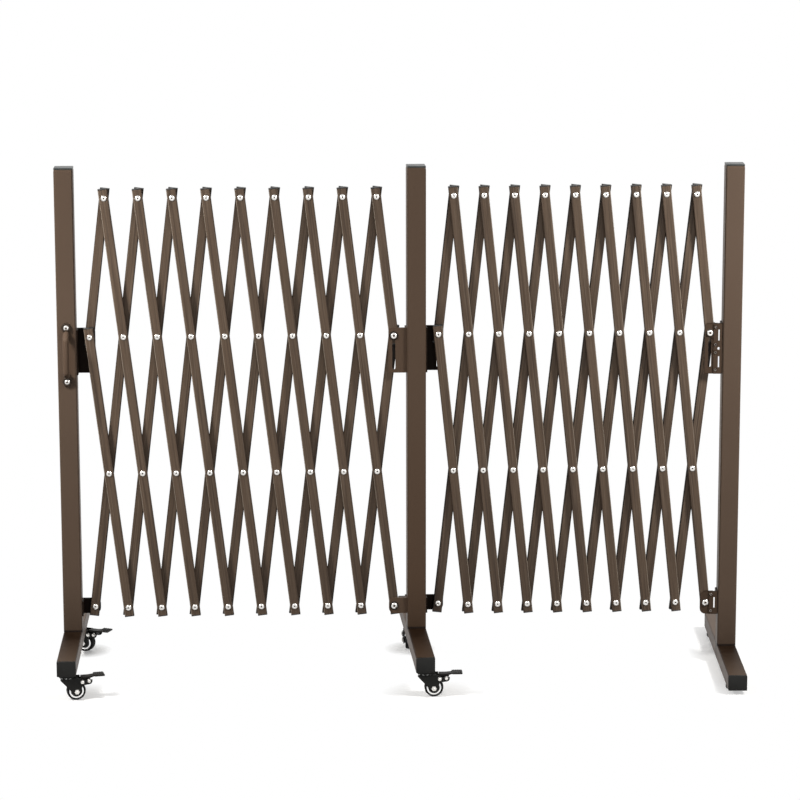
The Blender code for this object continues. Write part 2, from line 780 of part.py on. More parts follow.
def foot_cap(shop, post_x, underside, way):
    """The plastic cap in one end of a foot."""
    inner = way * (FOOT_LENGTH / 2 - CAP_THICKNESS - FOOT_EDGE - CAP_EDGE - JOIN_DEPTH)
    outer = way * FOOT_LENGTH / 2
    half = POST_WIDTH / 2 - CAP_INSET
    low = (post_x - half, min(inner, outer), underside + CAP_INSET)
    high = (post_x + half, max(inner, outer), underside + FOOT_HEIGHT - CAP_INSET)
    return block(shop, "foot_cap", low, high, CAP_EDGE)


def post_tube(shop, post_x, underside):
    """The square tube of a post, standing on its foot."""
    half = POST_WIDTH / 2
    low = (post_x - half, -half, underside + FOOT_HEIGHT - POST_EDGE - JOIN_DEPTH)
    high = (post_x + half, half, BARRIER_HEIGHT - CAP_THICKNESS)
    return block(shop, "post_tube", low, high, POST_EDGE)


def post_cap(shop, post_x):
    """The plastic cap on top of a post."""
    half = POST_WIDTH / 2 - CAP_INSET
    bottom = BARRIER_HEIGHT - CAP_THICKNESS - POST_EDGE - CAP_EDGE - JOIN_DEPTH
    low = (post_x - half, -half, bottom)
    high = (post_x + half, half, BARRIER_HEIGHT)
    return block(shop, "post_cap", low, high, CAP_EDGE)


def post_frame(shop, post_x, underside):
    """A post with its foot and caps, as one solid."""
    tube = post_tube(shop, post_x, underside)
    pieces = [
        foot_tube(shop, post_x, underside),
        foot_cap(shop, post_x, underside, FRONT),
        foot_cap(shop, post_x, underside, BACK),
        post_cap(shop, post_x),
    ]
    for piece in [tube] + pieces:
        turned_with_post(piece, post_x)
    return combine(tube, pieces, "UNION")


def caster_depths():
    """Where the two casters of a foot stand along Y, front and rear."""
    return (-FOOT_LENGTH / 2 + FRONT_CASTER_INSET, FOOT_LENGTH / 2 - REAR_CASTER_INSET)


def king_pin_holes(shop, post_x):
    """The holes in a foot's underside for the king pins of its casters."""
    radius = (KING_PIN_RADIUS + RUNNING_CLEARANCE) / math.cos(math.pi / PIN_SIDES)
    bottom = CASTER_HEIGHT - CUT_OVERRUN
    top = CASTER_HEIGHT + KING_PIN_LENGTH + RUNNING_CLEARANCE
    holes = []
    for depth in caster_depths():
        profile = [(0.0, top), (radius, top), (radius, bottom), (0.0, bottom)]
        hole = turned(shop, "king_pin_hole", profile, PIN_SIDES)
        hole.data.transform(Matrix.Translation(post_place(post_x, depth, 0.0)))
        holes.append(hole)
    return holes


def castered_post(shop, name, post_x, brackets):
    """A post that rolls on casters, with brackets on the sides given as (side, layer)."""
    frame = post_frame(shop, post_x, CASTER_HEIGHT)
    cuts = king_pin_holes(shop, post_x)
    for side, layer in brackets:
        joined, holes = post_brackets(shop, post_x, side, layer)
        combine(frame, joined, "UNION")
        cuts += holes
    combine(frame, cuts, "DIFFERENCE")
    return shop.finish(frame, name, BROWN, 0.45)


def fixed_post(shop):
    """The post that stands on rubber pads."""
    frame = post_frame(shop, RIGHT_POST_X, PAD_HEIGHT)
    return shop.finish(frame, "right_post", BROWN, 0.45)


def rubber_pad(shop, name, depth):
    """A round rubber pad under the fixed post's foot."""
    top = PAD_HEIGHT - SEAT_GAP
    profile = [
        (0.0, top),
        (PAD_RADIUS - PAD_EDGE, top),
        (PAD_RADIUS, top - PAD_EDGE),
        (PAD_RADIUS, PAD_EDGE),
        (PAD_RADIUS - PAD_EDGE, 0.0),
        (0.0, 0.0),
    ]
    pad = turned(shop, name, profile, PAD_SIDES, phase=math.pi / PAD_SIDES)
    pad.location = post_place(RIGHT_POST_X, depth, 0.0)
    return shop.finish(pad, name, RUBBER_BLACK, 0.8)


# Pull handle


def handle_route():
    """Points of the bow's centre line as (depth, height), from its upper boss to its lower one."""
    face = -POST_WIDTH / 2 - SEAT_GAP
    root = face - BOSS_HEIGHT / 2
    out = face - HANDLE_STANDOFF
    half = HANDLE_CENTRES / 2 - BOSS_RADIUS - HANDLE_BAR_RADIUS + HANDLE_FOOT_OVERLAP
    upper = arc((root, HANDLE_HEIGHT + half - HANDLE_BEND), HANDLE_BEND, math.pi / 2, math.pi, BEND_STEPS)
    stretch = (root - out) / HANDLE_BEND
    points = []
    for depth, height in upper:
        points.append((root + (depth - root) * stretch, height))
    lower = [(depth, 2 * HANDLE_HEIGHT - height) for depth, height in reversed(points)]
    return points + lower


def handle_bow(shop):
    """The bent round bar of the handle."""
    data = bpy.data.curves.new("handle_bow", "CURVE")
    data.dimensions = "3D"
    data.bevel_depth = HANDLE_BAR_RADIUS
    data.bevel_resolution = HANDLE_SIDES // 4 - 1
    data.use_fill_caps = True
    route = handle_route()
    spline = data.splines.new("POLY")
    spline.points.add(len(route) - 1)
    for point, (depth, height) in zip(spline.points, route):
        point.co = (LEFT_POST_X, depth, height, 1.0)
    bow = bpy.data.objects.new("handle_bow", data)
    shop.tools.objects.link(bow)
    return welded_curve(shop, bow)


def handle_boss(shop, height):
    """A round end of the handle with the dome of its screw, as one turned solid."""
    face = -POST_WIDTH / 2 - SEAT_GAP
    crown = face - BOSS_HEIGHT
    profile = [
        (0.0, crown - SCREW_HEAD_HEIGHT),
        (SCREW_HEAD_RADIUS * HEAD_CROWN_SHARE, crown - SCREW_HEAD_HEIGHT),
        (SCREW_HEAD_RADIUS, crown),
        (BOSS_RADIUS - MOULDED_EDGE, crown),
        (BOSS_RADIUS, crown + MOULDED_EDGE),
        (BOSS_RADIUS, face),
        (0.0, face),
    ]
    boss = turned(shop, "handle_boss", [(radius, -depth) for radius, depth in profile], HANDLE_SIDES)
    boss.data.transform(
        Matrix.Translation((LEFT_POST_X, 0.0, height)) @ Matrix.Rotation(math.pi / 2, 4, "X")
    )
    return boss


def pull_handle(shop):
    """The bow handle on the front of the left post."""
    bow = handle_bow(shop)
    ends = [
        handle_boss(shop, HANDLE_HEIGHT + HANDLE_CENTRES / 2),
        handle_boss(shop, HANDLE_HEIGHT - HANDLE_CENTRES / 2),
    ]
    combine(bow, ends, "UNION")
    return shop.finish(bow, "pull_handle", BROWN, 0.45)


# Casters, drawn with the swivel axis at the origin, the floor at zero and the wheel at +X


CHEEK_INNER = WHEEL_WIDTH / 2 + WHEEL_GAP
HUB_HALF_WIDTH = CHEEK_INNER - SIDE_CLEARANCE
CHEEK_OUTER = CHEEK_INNER + CHEEK_THICKNESS
SWIVEL_TOP = CASTER_HEIGHT - SEAT_GAP
CROWN_TOP = SWIVEL_TOP - SWIVEL_HEIGHT + JOIN_DEPTH
AXLE_SEAT_RADIUS = (AXLE_RADIUS + RUNNING_CLEARANCE) / math.cos(math.pi / PIN_SIDES)
BRAKE_HOLE_RADIUS = (BRAKE_PIN_RADIUS + RUNNING_CLEARANCE) / math.cos(math.pi / PIN_SIDES)


def wheel(shop):
    """A solid wheel with a tyre edge, a recessed rim and a bored hub, turned about its axle."""
    corner = 1 / math.cos(math.pi / WHEEL_SIDES)
    tread = WHEEL_RADIUS * corner
    half = WHEEL_WIDTH / 2
    rim = WHEEL_RADIUS - TYRE_DEPTH
    side = [
        (AXLE_SEAT_RADIUS, HUB_HALF_WIDTH),
        (HUB_RADIUS, HUB_HALF_WIDTH),
        (HUB_RADIUS, half - RIM_RECESS),
        (rim, half - RIM_RECESS),
        (tread - TYRE_EDGE, half),
        (tread, half - TYRE_EDGE),
    ]
    other = [(radius, -height) for radius, height in reversed(side)]
    ring = turned(shop, "wheel", side + other, WHEEL_SIDES, closed=True, phase=math.pi / WHEEL_SIDES)
    ring.data.transform(Matrix.Rotation(math.pi / 2, 4, "X"))
    return ring


def cheek_outline():
    """Side view of a fork's cheek: the swivel lip, the hub plate and the brake eye."""
    hub = arc((TRAIL, WHEEL_RADIUS), HUB_PLATE_RADIUS, 5 * math.pi / 4, 2 * math.pi, ARC_STEPS)
    eye = arc((BRAKE_PIN_OUT, BRAKE_PIN_UP), BRAKE_EYE_RADIUS, -math.pi / 2, 0.0, ARC_STEPS)
    return [
        (-CHEEK_LIP, CROWN_TOP + SWIVEL_RIM),
        (-CHEEK_LIP, CROWN_TOP),
        (0.0, WHEEL_RADIUS + HUB_PLATE_RADIUS),
        *hub,
        (FORK_RIVET_OUT, FORK_RIVET_UP - BRAKE_EYE_RADIUS),
        *eye,
        (BRAKE_PIN_OUT + BRAKE_EYE_RADIUS, LEVER_UNDER - LEVER_DROP),
        (LEVER_BACK - SIDE_CLEARANCE, LEVER_UNDER - LEVER_DROP),
        (LEVER_BACK - SIDE_CLEARANCE, CROWN_TOP + SWIVEL_RIM),
    ]


def swivel_head(shop):
    """The swivel's race under the foot, with its king pin."""
    bottom = SWIVEL_TOP - SWIVEL_HEIGHT
    pin_top = CASTER_HEIGHT + KING_PIN_LENGTH
    profile = [
        (0.0, pin_top),
        (KING_PIN_RADIUS, pin_top),
        (KING_PIN_RADIUS, SWIVEL_TOP),
        (SWIVEL_RADIUS, SWIVEL_TOP),
        (SWIVEL_RADIUS, SWIVEL_TOP - SWIVEL_RIM),
        (SWIVEL_NECK_RADIUS, bottom),
        (0.0, bottom),
    ]
    return turned(shop, "swivel_head", profile, SWIVEL_SIDES)


def axle_bolt(shop):
    """The wheel's axle with a nut outside each cheek."""
    length = 2 * CHEEK_OUTER
    place = (TRAIL, 0.0, WHEEL_RADIUS)
    pieces = [cross_rod(shop, "axle", place, AXLE_RADIUS, length, PIN_SIDES)]
    for way in (FRONT, BACK):
        middle = way * (CHEEK_OUTER + (NUT_HEIGHT - JOIN_DEPTH) / 2)
        place = (TRAIL, middle, WHEEL_RADIUS)
        pieces.append(cross_rod(shop, "nut", place, NUT_RADIUS, NUT_HEIGHT + JOIN_DEPTH, NUT_SIDES))
    return pieces


def fork_rivets(shop):
    """The heads of the rivet that ties the cheeks together above the wheel."""
    pieces = []
    for way in (FRONT, BACK):
        middle = way * (CHEEK_OUTER + (BRAKE_HEAD_HEIGHT - JOIN_DEPTH) / 2)
        place = (FORK_RIVET_OUT, middle, FORK_RIVET_UP)
        length = BRAKE_HEAD_HEIGHT + JOIN_DEPTH
        pieces.append(cross_rod(shop, "fork_rivet", place, BRAKE_HEAD_RADIUS, length, PIN_SIDES))
    return pieces


def fork(shop):
    """A caster's fork: swivel head, crown, two cheeks, axle and rivets."""
    head_solid = swivel_head(shop)
    crown = block(
        shop, "crown",
        (-CROWN_FRONT, -CHEEK_INNER - JOIN_DEPTH, CROWN_TOP - CROWN_THICKNESS),
        (CROWN_BACK, CHEEK_INNER + JOIN_DEPTH, CROWN_TOP),
    )
    outline = cheek_outline()
    front_cheek = plate(shop, "front_cheek", outline, -CHEEK_OUTER, -CHEEK_INNER)
    back_cheek = plate(shop, "back_cheek", outline, CHEEK_INNER, CHEEK_OUTER)
    place = (BRAKE_PIN_OUT, 0.0, BRAKE_PIN_UP)
    length = 2 * (CHEEK_OUTER + CUT_OVERRUN)
    drill = cross_rod(shop, "brake_drill", place, BRAKE_HOLE_RADIUS, length, PIN_SIDES, math.pi / PIN_SIDES)
    combine(head_solid, [crown, front_cheek, back_cheek] + axle_bolt(shop) + fork_rivets(shop), "UNION")
    return combine(head_solid, [drill], "DIFFERENCE")


def brake_nose(shop):
    """The cam under the lever that turns against the tyre."""
    to_wheel = math.atan2(WHEEL_RADIUS - BRAKE_PIN_UP, TRAIL - BRAKE_PIN_OUT)
    centres = math.hypot(WHEEL_RADIUS - BRAKE_PIN_UP, TRAIL - BRAKE_PIN_OUT)
    tread = WHEEL_RADIUS / math.cos(math.pi / WHEEL_SIDES)
    reach = centres - tread - RUNNING_CLEARANCE - BRAKE_NOSE_RADIUS
    angle = to_wheel + BRAKE_TURN
    tip = (BRAKE_PIN_OUT + reach * math.cos(angle), BRAKE_PIN_UP + reach * math.sin(angle))
    across = angle + math.pi / 2
    side_x = BRAKE_BARREL_RADIUS * HEAD_CROWN_SHARE * math.cos(across)
    side_z = BRAKE_BARREL_RADIUS * HEAD_CROWN_SHARE * math.sin(across)
    outline = [
        (BRAKE_PIN_OUT + side_x, BRAKE_PIN_UP + side_z),
        (BRAKE_PIN_OUT - side_x, BRAKE_PIN_UP - side_z),
    ]
    outline += arc(tip, BRAKE_NOSE_RADIUS, angle - math.pi / 2, angle + math.pi / 2, ARC_STEPS)
    half = LEVER_NECK_WIDTH / 2 - 2 * JOIN_DEPTH
    return plate(shop, "brake_nose", outline, -half, half)


def lever_outline():
    """Side view of the lever, from its back end to the start of the pedal plate."""
    top = LEVER_UNDER + LEVER_THICKNESS
    return [
        (LEVER_BACK, LEVER_UNDER),
        (BRAKE_PIN_OUT - BRAKE_BARREL_RADIUS / 2, LEVER_UNDER),
        (BRAKE_PIN_OUT - BRAKE_BARREL_RADIUS / 2, BRAKE_PIN_UP),
        (BRAKE_PIN_OUT + BRAKE_BARREL_RADIUS / 2, BRAKE_PIN_UP),
        (BRAKE_PIN_OUT + BRAKE_BARREL_RADIUS, LEVER_UNDER + LEVER_DROP),
        (PEDAL_START + PEDAL_THICKNESS, PEDAL_TOP - PEDAL_THICKNESS + MOULDED_EDGE / 2),
        (PEDAL_START + PEDAL_THICKNESS, PEDAL_TOP - MOULDED_EDGE),
        (BRAKE_PIN_OUT, top),
        (LEVER_BACK, top),
    ]


def pedal_plate(shop):
    """The pedal's plate with rounded corners, and the ribs across its top."""
    mesh_part = block(
        shop, "pedal_plate",
        (PEDAL_START, -PEDAL_WIDTH / 2, PEDAL_TOP - PEDAL_THICKNESS),
        (PEDAL_END, PEDAL_WIDTH / 2, PEDAL_TOP),
        MOULDED_EDGE,
    )
    ribs = []
    pitch = (PEDAL_END - PEDAL_START) / (RIB_COUNT + 1)
    for number in range(1, RIB_COUNT + 1):
        x = PEDAL_START + number * pitch
        low = (x - RIB_WIDTH / 2, -PEDAL_WIDTH / 2 + PEDAL_CORNER, PEDAL_TOP - JOIN_DEPTH)
        high = (x + RIB_WIDTH / 2, PEDAL_WIDTH / 2 - PEDAL_CORNER, PEDAL_TOP + RIB_HEIGHT)
        ribs.append(block(shop, "pedal_rib", low, high))
    return [mesh_part] + ribs


def brake_pedal(shop):
    """A caster's brake lever with its pin, cam and ribbed pedal."""
    half = LEVER_NECK_WIDTH / 2
    lever = plate(shop, "lever", lever_outline(), -half, half)
    place = (BRAKE_PIN_OUT, 0.0, BRAKE_PIN_UP)
    barrel = cross_rod(shop, "barrel", place, BRAKE_BARREL_RADIUS, 2 * (half - JOIN_DEPTH), PIN_SIDES)
    head_start = CHEEK_OUTER + RUNNING_CLEARANCE
    pin_length = 2 * (head_start + BRAKE_HEAD_HEIGHT / 2)
    pin = cross_rod(shop, "brake_pin", place, BRAKE_PIN_RADIUS, pin_length, PIN_SIDES)
    heads = []
    for way in (FRONT, BACK):
        middle = (BRAKE_PIN_OUT, way * (head_start + BRAKE_HEAD_HEIGHT / 2), BRAKE_PIN_UP)
        heads.append(cross_rod(shop, "brake_head", middle, BRAKE_HEAD_RADIUS, BRAKE_HEAD_HEIGHT, PIN_SIDES))
    return combine(lever, [barrel, pin, brake_nose(shop)] + heads + pedal_plate(shop), "UNION")


def place_caster(shop, shapes, name, post_x, depth, heading):
    """One caster: its fork, wheel and pedal, parented to an empty on the swivel axis."""
    swivel = bpy.data.objects.new(name + "_swivel", None)
    swivel.location = post_place(post_x, depth, 0.0)
    swivel.rotation_euler = (0.0, 0.0, heading)
    shop.parts.objects.link(swivel)
    fork_part = shop.finish(
        mesh_object(shop, name + "_fork", shapes["fork"].copy()), name + "_fork", BLACK, 0.5
    )
    wheel_part = shop.finish(
        mesh_object(shop, name + "_wheel", shapes["wheel"].copy()), name + "_wheel", RUBBER_BLACK, 0.6
    )
    pedal_part = shop.finish(
        mesh_object(shop, name + "_pedal", shapes["pedal"].copy()), name + "_brake_pedal", BLACK, 0.5
    )
    pedal_part.data.transform(Matrix.Translation((-BRAKE_PIN_OUT, 0.0, -BRAKE_PIN_UP)))
    pedal_part.location = (BRAKE_PIN_OUT, 0.0, BRAKE_PIN_UP)
    wheel_part.location = (TRAIL, 0.0, WHEEL_RADIUS)
    for piece in (fork_part, wheel_part, pedal_part):
        piece.parent = swivel


def build_casters(shop):
    """The four casters, two under each rolling post."""
    shapes = {
        "fork": evaluated_mesh(fork(shop)),
        "wheel": wheel(shop).data,
        "pedal": evaluated_mesh(brake_pedal(shop)),
    }
    front, rear = caster_depths()
    place_caster(shop, shapes, "left_front_caster", LEFT_POST_X, front, LEFT_FRONT_HEADING)
    place_caster(shop, shapes, "left_rear_caster", LEFT_POST_X, rear, LEFT_REAR_HEADING)
    place_caster(shop, shapes, "middle_front_caster", MIDDLE_POST_X, front, MIDDLE_FRONT_HEADING)
    place_caster(shop, shapes, "middle_rear_caster", MIDDLE_POST_X, rear, MIDDLE_REAR_HEADING)


def main():
    """Build the barrier at its rest pose."""
    clear_scene()
    shop = Workshop()
    castered_post(shop, "left_post", LEFT_POST_X, [(RIGHT, BACK)])
    castered_post(shop, "middle_post", MIDDLE_POST_X, [(LEFT, FRONT), (RIGHT, BACK)])
    fixed_post(shop)
    tall_upper_bracket(shop, RIGHT_POST_X, LEFT, FRONT)
    tall_lower_bracket(shop, RIGHT_POST_X, LEFT, FRONT)
    rubber_pad(shop, "right_front_pad", -FOOT_LENGTH / 2 + PAD_INSET)
    rubber_pad(shop, "right_rear_pad", FOOT_LENGTH / 2 - PAD_INSET)
    pull_handle(shop)
    build_casters(shop)
    build_lattice(shop, LEFT)
    build_lattice(shop, RIGHT)


main()
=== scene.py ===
"""An expanding safety barrier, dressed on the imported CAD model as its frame."""

import json
import logging
import math
from dataclasses import dataclass
from enum import Enum
from typing import Any, Callable, Iterator, Optional, Sequence, Union

import bmesh
import bpy
from mathutils import Matrix, Vector

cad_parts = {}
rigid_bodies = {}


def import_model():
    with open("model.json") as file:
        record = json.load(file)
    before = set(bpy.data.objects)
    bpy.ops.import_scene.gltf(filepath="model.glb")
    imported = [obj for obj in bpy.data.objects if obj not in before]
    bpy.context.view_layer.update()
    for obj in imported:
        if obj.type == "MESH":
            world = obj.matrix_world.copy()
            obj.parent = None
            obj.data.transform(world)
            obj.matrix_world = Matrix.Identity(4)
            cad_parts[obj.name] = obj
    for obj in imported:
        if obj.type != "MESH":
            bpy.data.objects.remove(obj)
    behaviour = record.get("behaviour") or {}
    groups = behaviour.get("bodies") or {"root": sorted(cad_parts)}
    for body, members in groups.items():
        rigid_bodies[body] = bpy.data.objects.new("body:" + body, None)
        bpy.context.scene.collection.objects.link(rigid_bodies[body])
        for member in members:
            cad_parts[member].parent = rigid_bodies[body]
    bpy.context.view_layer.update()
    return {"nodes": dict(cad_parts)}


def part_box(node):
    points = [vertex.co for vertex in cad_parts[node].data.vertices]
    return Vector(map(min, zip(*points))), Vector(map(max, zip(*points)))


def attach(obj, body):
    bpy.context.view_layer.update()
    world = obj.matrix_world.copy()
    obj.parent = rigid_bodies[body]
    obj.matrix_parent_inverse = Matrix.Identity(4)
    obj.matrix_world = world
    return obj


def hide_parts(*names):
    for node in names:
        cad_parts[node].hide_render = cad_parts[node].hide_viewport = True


LOG = logging.getLogger("barrier")
MM = 0.001
WHITE, BLACK = (1.0, 1.0, 1.0), (0.0, 0.0, 0.0)

Point = tuple[float, float]
Spot = tuple[float, float, float]
Colour = tuple[float, float, float]
Ring = list[bmesh.types.BMVert]
Nodes = dict[str, bpy.types.Object]
Operand = Union["Signal", float, int]


# Shader arithmetic


def operator(operation: str, reflected: bool = False) -> Callable[["Signal", Operand], "Signal"]:
    """Make an operator that adds one Math node.

    Args:
        operation: Blender's name for the sum.
        reflected: take the operands the other way round.

    Returns:
        The operator's method.
    """
    def method(self: "Signal", other: Operand) -> "Signal":
        """Work out a result from two numbers."""
        return self.board.math(operation, *((other, self) if reflected else (self, other)))
    return method


@dataclass(frozen=True)
class Signal:
    """A number that runs through a shader, as one output socket of one material's board."""

    board: "Board"
    socket: bpy.types.NodeSocket

    __add__ = __radd__ = operator("ADD")
    __mul__ = __rmul__ = operator("MULTIPLY")
    __or__ = __ror__ = operator("MAXIMUM")
    __and__ = __rand__ = operator("MINIMUM")
    __sub__, __rsub__ = operator("SUBTRACT"), operator("SUBTRACT", reflected=True)
    __gt__, __lt__ = operator("GREATER_THAN"), operator("LESS_THAN")

    def __abs__(self) -> "Signal":
        """Size without sign."""
        return self.board.math("ABSOLUTE", self)

    def ramp(self, start: float, end: float) -> "Signal":
        """Stay 0 up to one value and rise to 1 at another."""
        return self.board.math("ADD", (self - start) * (1.0 / (end - start)), 0.0, clamp=True)

    def fall(self, start: float, end: float) -> "Signal":
        """Stay 1 up to one value and fall to 0 at another."""
        return 1.0 - self.ramp(start, end)

    def near(self, spot: float, inner: float, outer: float) -> "Signal":
        """Stay 1 within one distance of a value and fall to 0 at another."""
        return abs(self - spot).fall(inner, outer)


class Board:
    """The node tree of one material, or of the world."""

    def __init__(self, name: str, world: bool = False) -> None:
        """Start an empty tree.

        Args:
            name: the material's or the world's name.
            world: make a world instead of a material.
        """
        self.owner = (bpy.data.worlds if world else bpy.data.materials).new(name)
        self.owner.use_nodes = True
        self.tree = self.owner.node_tree
        self.tree.nodes.clear()
        self.out = self.node("ShaderNodeOutputWorld" if world else "ShaderNodeOutputMaterial")

    def node(self, kind: str, settings: Optional[dict[str, Any]] = None,
             inputs: Optional[dict[Union[int, str], Any]] = None) -> bpy.types.Node:
        """Make a node of any type.

        Args:
            kind: Blender's type name.
            settings: attributes, set before the sockets.
            inputs: a value, a Signal or a socket for each input, by name or number.

        Returns:
            The node.
        """
        made = self.tree.nodes.new(kind)
        for key, value in (settings or {}).items():
            setattr(made, key, value)
        for key, value in (inputs or {}).items():
            socket, source = made.inputs[key], value.socket if isinstance(value, Signal) else value
            if isinstance(source, bpy.types.NodeSocket):
                self.tree.links.new(source, socket)
            else:
                socket.default_value = (*source, 1.0) if socket.type == "RGBA" else source
        return made

    def number(self, kind: str, settings: Optional[dict[str, Any]], inputs: dict[Union[int, str], Any],
               output: Union[int, str] = 0) -> Signal:
        """Make a node as node does, and take one of its outputs as a number."""
        return Signal(self, self.node(kind, settings, inputs).outputs[output])

    def math(self, operation: str, *operands: Operand, clamp: bool = False) -> Signal:
        """Add one Math node, whose result may be kept between 0 and 1."""
        settings = {"operation": operation, "use_clamp": clamp}
        return self.number("ShaderNodeMath", settings, dict(enumerate(operands)))

    def where(self) -> bpy.types.NodeSocket:
        """The surface point in the piece's own metres."""
        return self.node("ShaderNodeTexCoord").outputs["Object"]

    def place(self) -> tuple[Signal, Signal, Signal]:
        """The surface point as three numbers."""
        parts = self.node("ShaderNodeSeparateXYZ", inputs={0: self.where()})
        return tuple(Signal(self, parts.outputs[axis]) for axis in "XYZ")

    def rays(self, *kinds: str) -> Signal:
        """Pick out some kinds of ray.

        Args:
            kinds: their names.

        Returns:
            One for a ray of one of the kinds, zero for others.
        """
        first, *others = (Signal(self, self.path.outputs[f"Is {kind} Ray"]) for kind in kinds)
        for other in others:
            first = first | other
        return first

    @property
    def path(self) -> bpy.types.Node:
        """The board's Light Path node."""
        found = [node for node in self.tree.nodes if node.type == "LIGHT_PATH"]
        return found[0] if found else self.node("ShaderNodeLightPath")

    def stretched(self, scale: Union[float, Spot], lean: float = 0.0) -> bpy.types.NodeSocket:
        """The surface point with its axes multiplied.

        Args:
            scale: factor for all axes or for each.
            lean: how far the piece's long axis is turned from Z about Y.

        Returns:
            A vector socket.
        """
        where, factors = self.where(), (scale,) * 3 if isinstance(scale, float) else scale
        if lean:
            inputs = {"Vector": where, "Angle": -lean}
            where = self.node("ShaderNodeVectorRotate", {"rotation_type": "Y_AXIS"}, inputs).outputs[0]
        return self.node("ShaderNodeVectorMath", {"operation": "MULTIPLY"}, {0: where, 1: factors}).outputs[0]

    def noise(self, scale: Union[float, Spot], detail: float = 2.0, rough: float = 0.5,
              lean: float = 0.0) -> Signal:
        """Fractal noise about 0.5, from its features in a metre, its octaves and their weight."""
        inputs = {"Vector": self.stretched(scale, lean), "Scale": 1.0, "Detail": detail, "Roughness": rough}
        return self.number("ShaderNodeTexNoise", {"noise_dimensions": "3D"}, inputs, "Fac")

    def mix(self, share: Operand, first: Any, second: Any) -> bpy.types.NodeSocket:
        """Blend two colours or colour sockets by the share of the second."""
        settings = {"data_type": "RGBA", "clamp_factor": True}
        return self.node("ShaderNodeMix", settings, {0: share, 6: first, 7: second}).outputs[2]

    def bump(self, height: Signal, depth: float, strength: float) -> bpy.types.NodeSocket:
        """A relief from 0 to 1 as a normal, with its depth in metres and the share of it that shows."""
        inputs = {"Height": height, "Distance": depth, "Strength": strength}
        return self.node("ShaderNodeBump", inputs=inputs).outputs["Normal"]

    def principled(self, colour: Any, rough: Operand, normal: bpy.types.NodeSocket, gloss: float = 0.5,
                   metallic: float = 0.0) -> bpy.types.Node:
        """Make a Principled shader, with gloss as its specular level."""
        inputs = {"Base Color": colour, "Roughness": rough, "Normal": normal, "Metallic": metallic,
                  "Specular IOR Level": gloss}
        return self.node("ShaderNodeBsdfPrincipled", inputs=inputs)

    def blend(self, share: Signal, first: bpy.types.Node, second: bpy.types.Node) -> bpy.types.Node:
        """Mix two shaders by the share of the second."""
        return self.node("ShaderNodeMixShader", inputs={0: share, 1: first.outputs[0], 2: second.outputs[0]})

    def close(self, shader: bpy.types.Node) -> Union[bpy.types.Material, bpy.types.World]:
        """Lead the last shader to the output, and give the finished material or world."""
        self.tree.links.new(shader.outputs[0], self.out.inputs["Surface"])
        return self.owner


# Finishes

CLOUDS, SPECKS, PEEL = 5.0, 1300.0, 650.0  # features of a powder coat in a metre


def tinted(colour: Colour, factor: float) -> Colour:
    """A colour with its parts multiplied."""
    return tuple(part * factor for part in colour)


@dataclass(frozen=True)
class PowderCoat:
    """Satin brown powder coat, with its fine orange peel and dust of lighter grains."""

    name: str
    colour: Colour
    grain: Colour
    roughness: float = 0.46
    peel: float = 6e-5
    gloss: float = 0.16

    def coat(self, board: Board) -> tuple[bpy.types.NodeSocket, Signal, bpy.types.NodeSocket]:
        """The bare coat.

        Args:
            board: the material's board.

        Returns:
            Base colour, roughness and normal.
        """
        cloud = board.noise(CLOUDS, 3.0)
        drift = board.mix(cloud.ramp(0.3, 0.7) * 0.55, self.colour, tinted(self.colour, 0.86))
        speck = board.noise(SPECKS, 1.0)
        colour = board.mix(speck.ramp(0.56, 0.72) * 0.5, drift, self.grain)
        peel = board.noise(PEEL, 2.0, 0.6)
        rough = self.roughness + (cloud - 0.5) * 0.10 + (speck - 0.5) * 0.08
        return colour, rough, board.bump(peel, self.peel, 0.6)

    def material(self) -> bpy.types.Material:
        """The coat on its own."""
        board = Board(self.name)
        return board.close(board.principled(*self.coat(board), self.gloss))


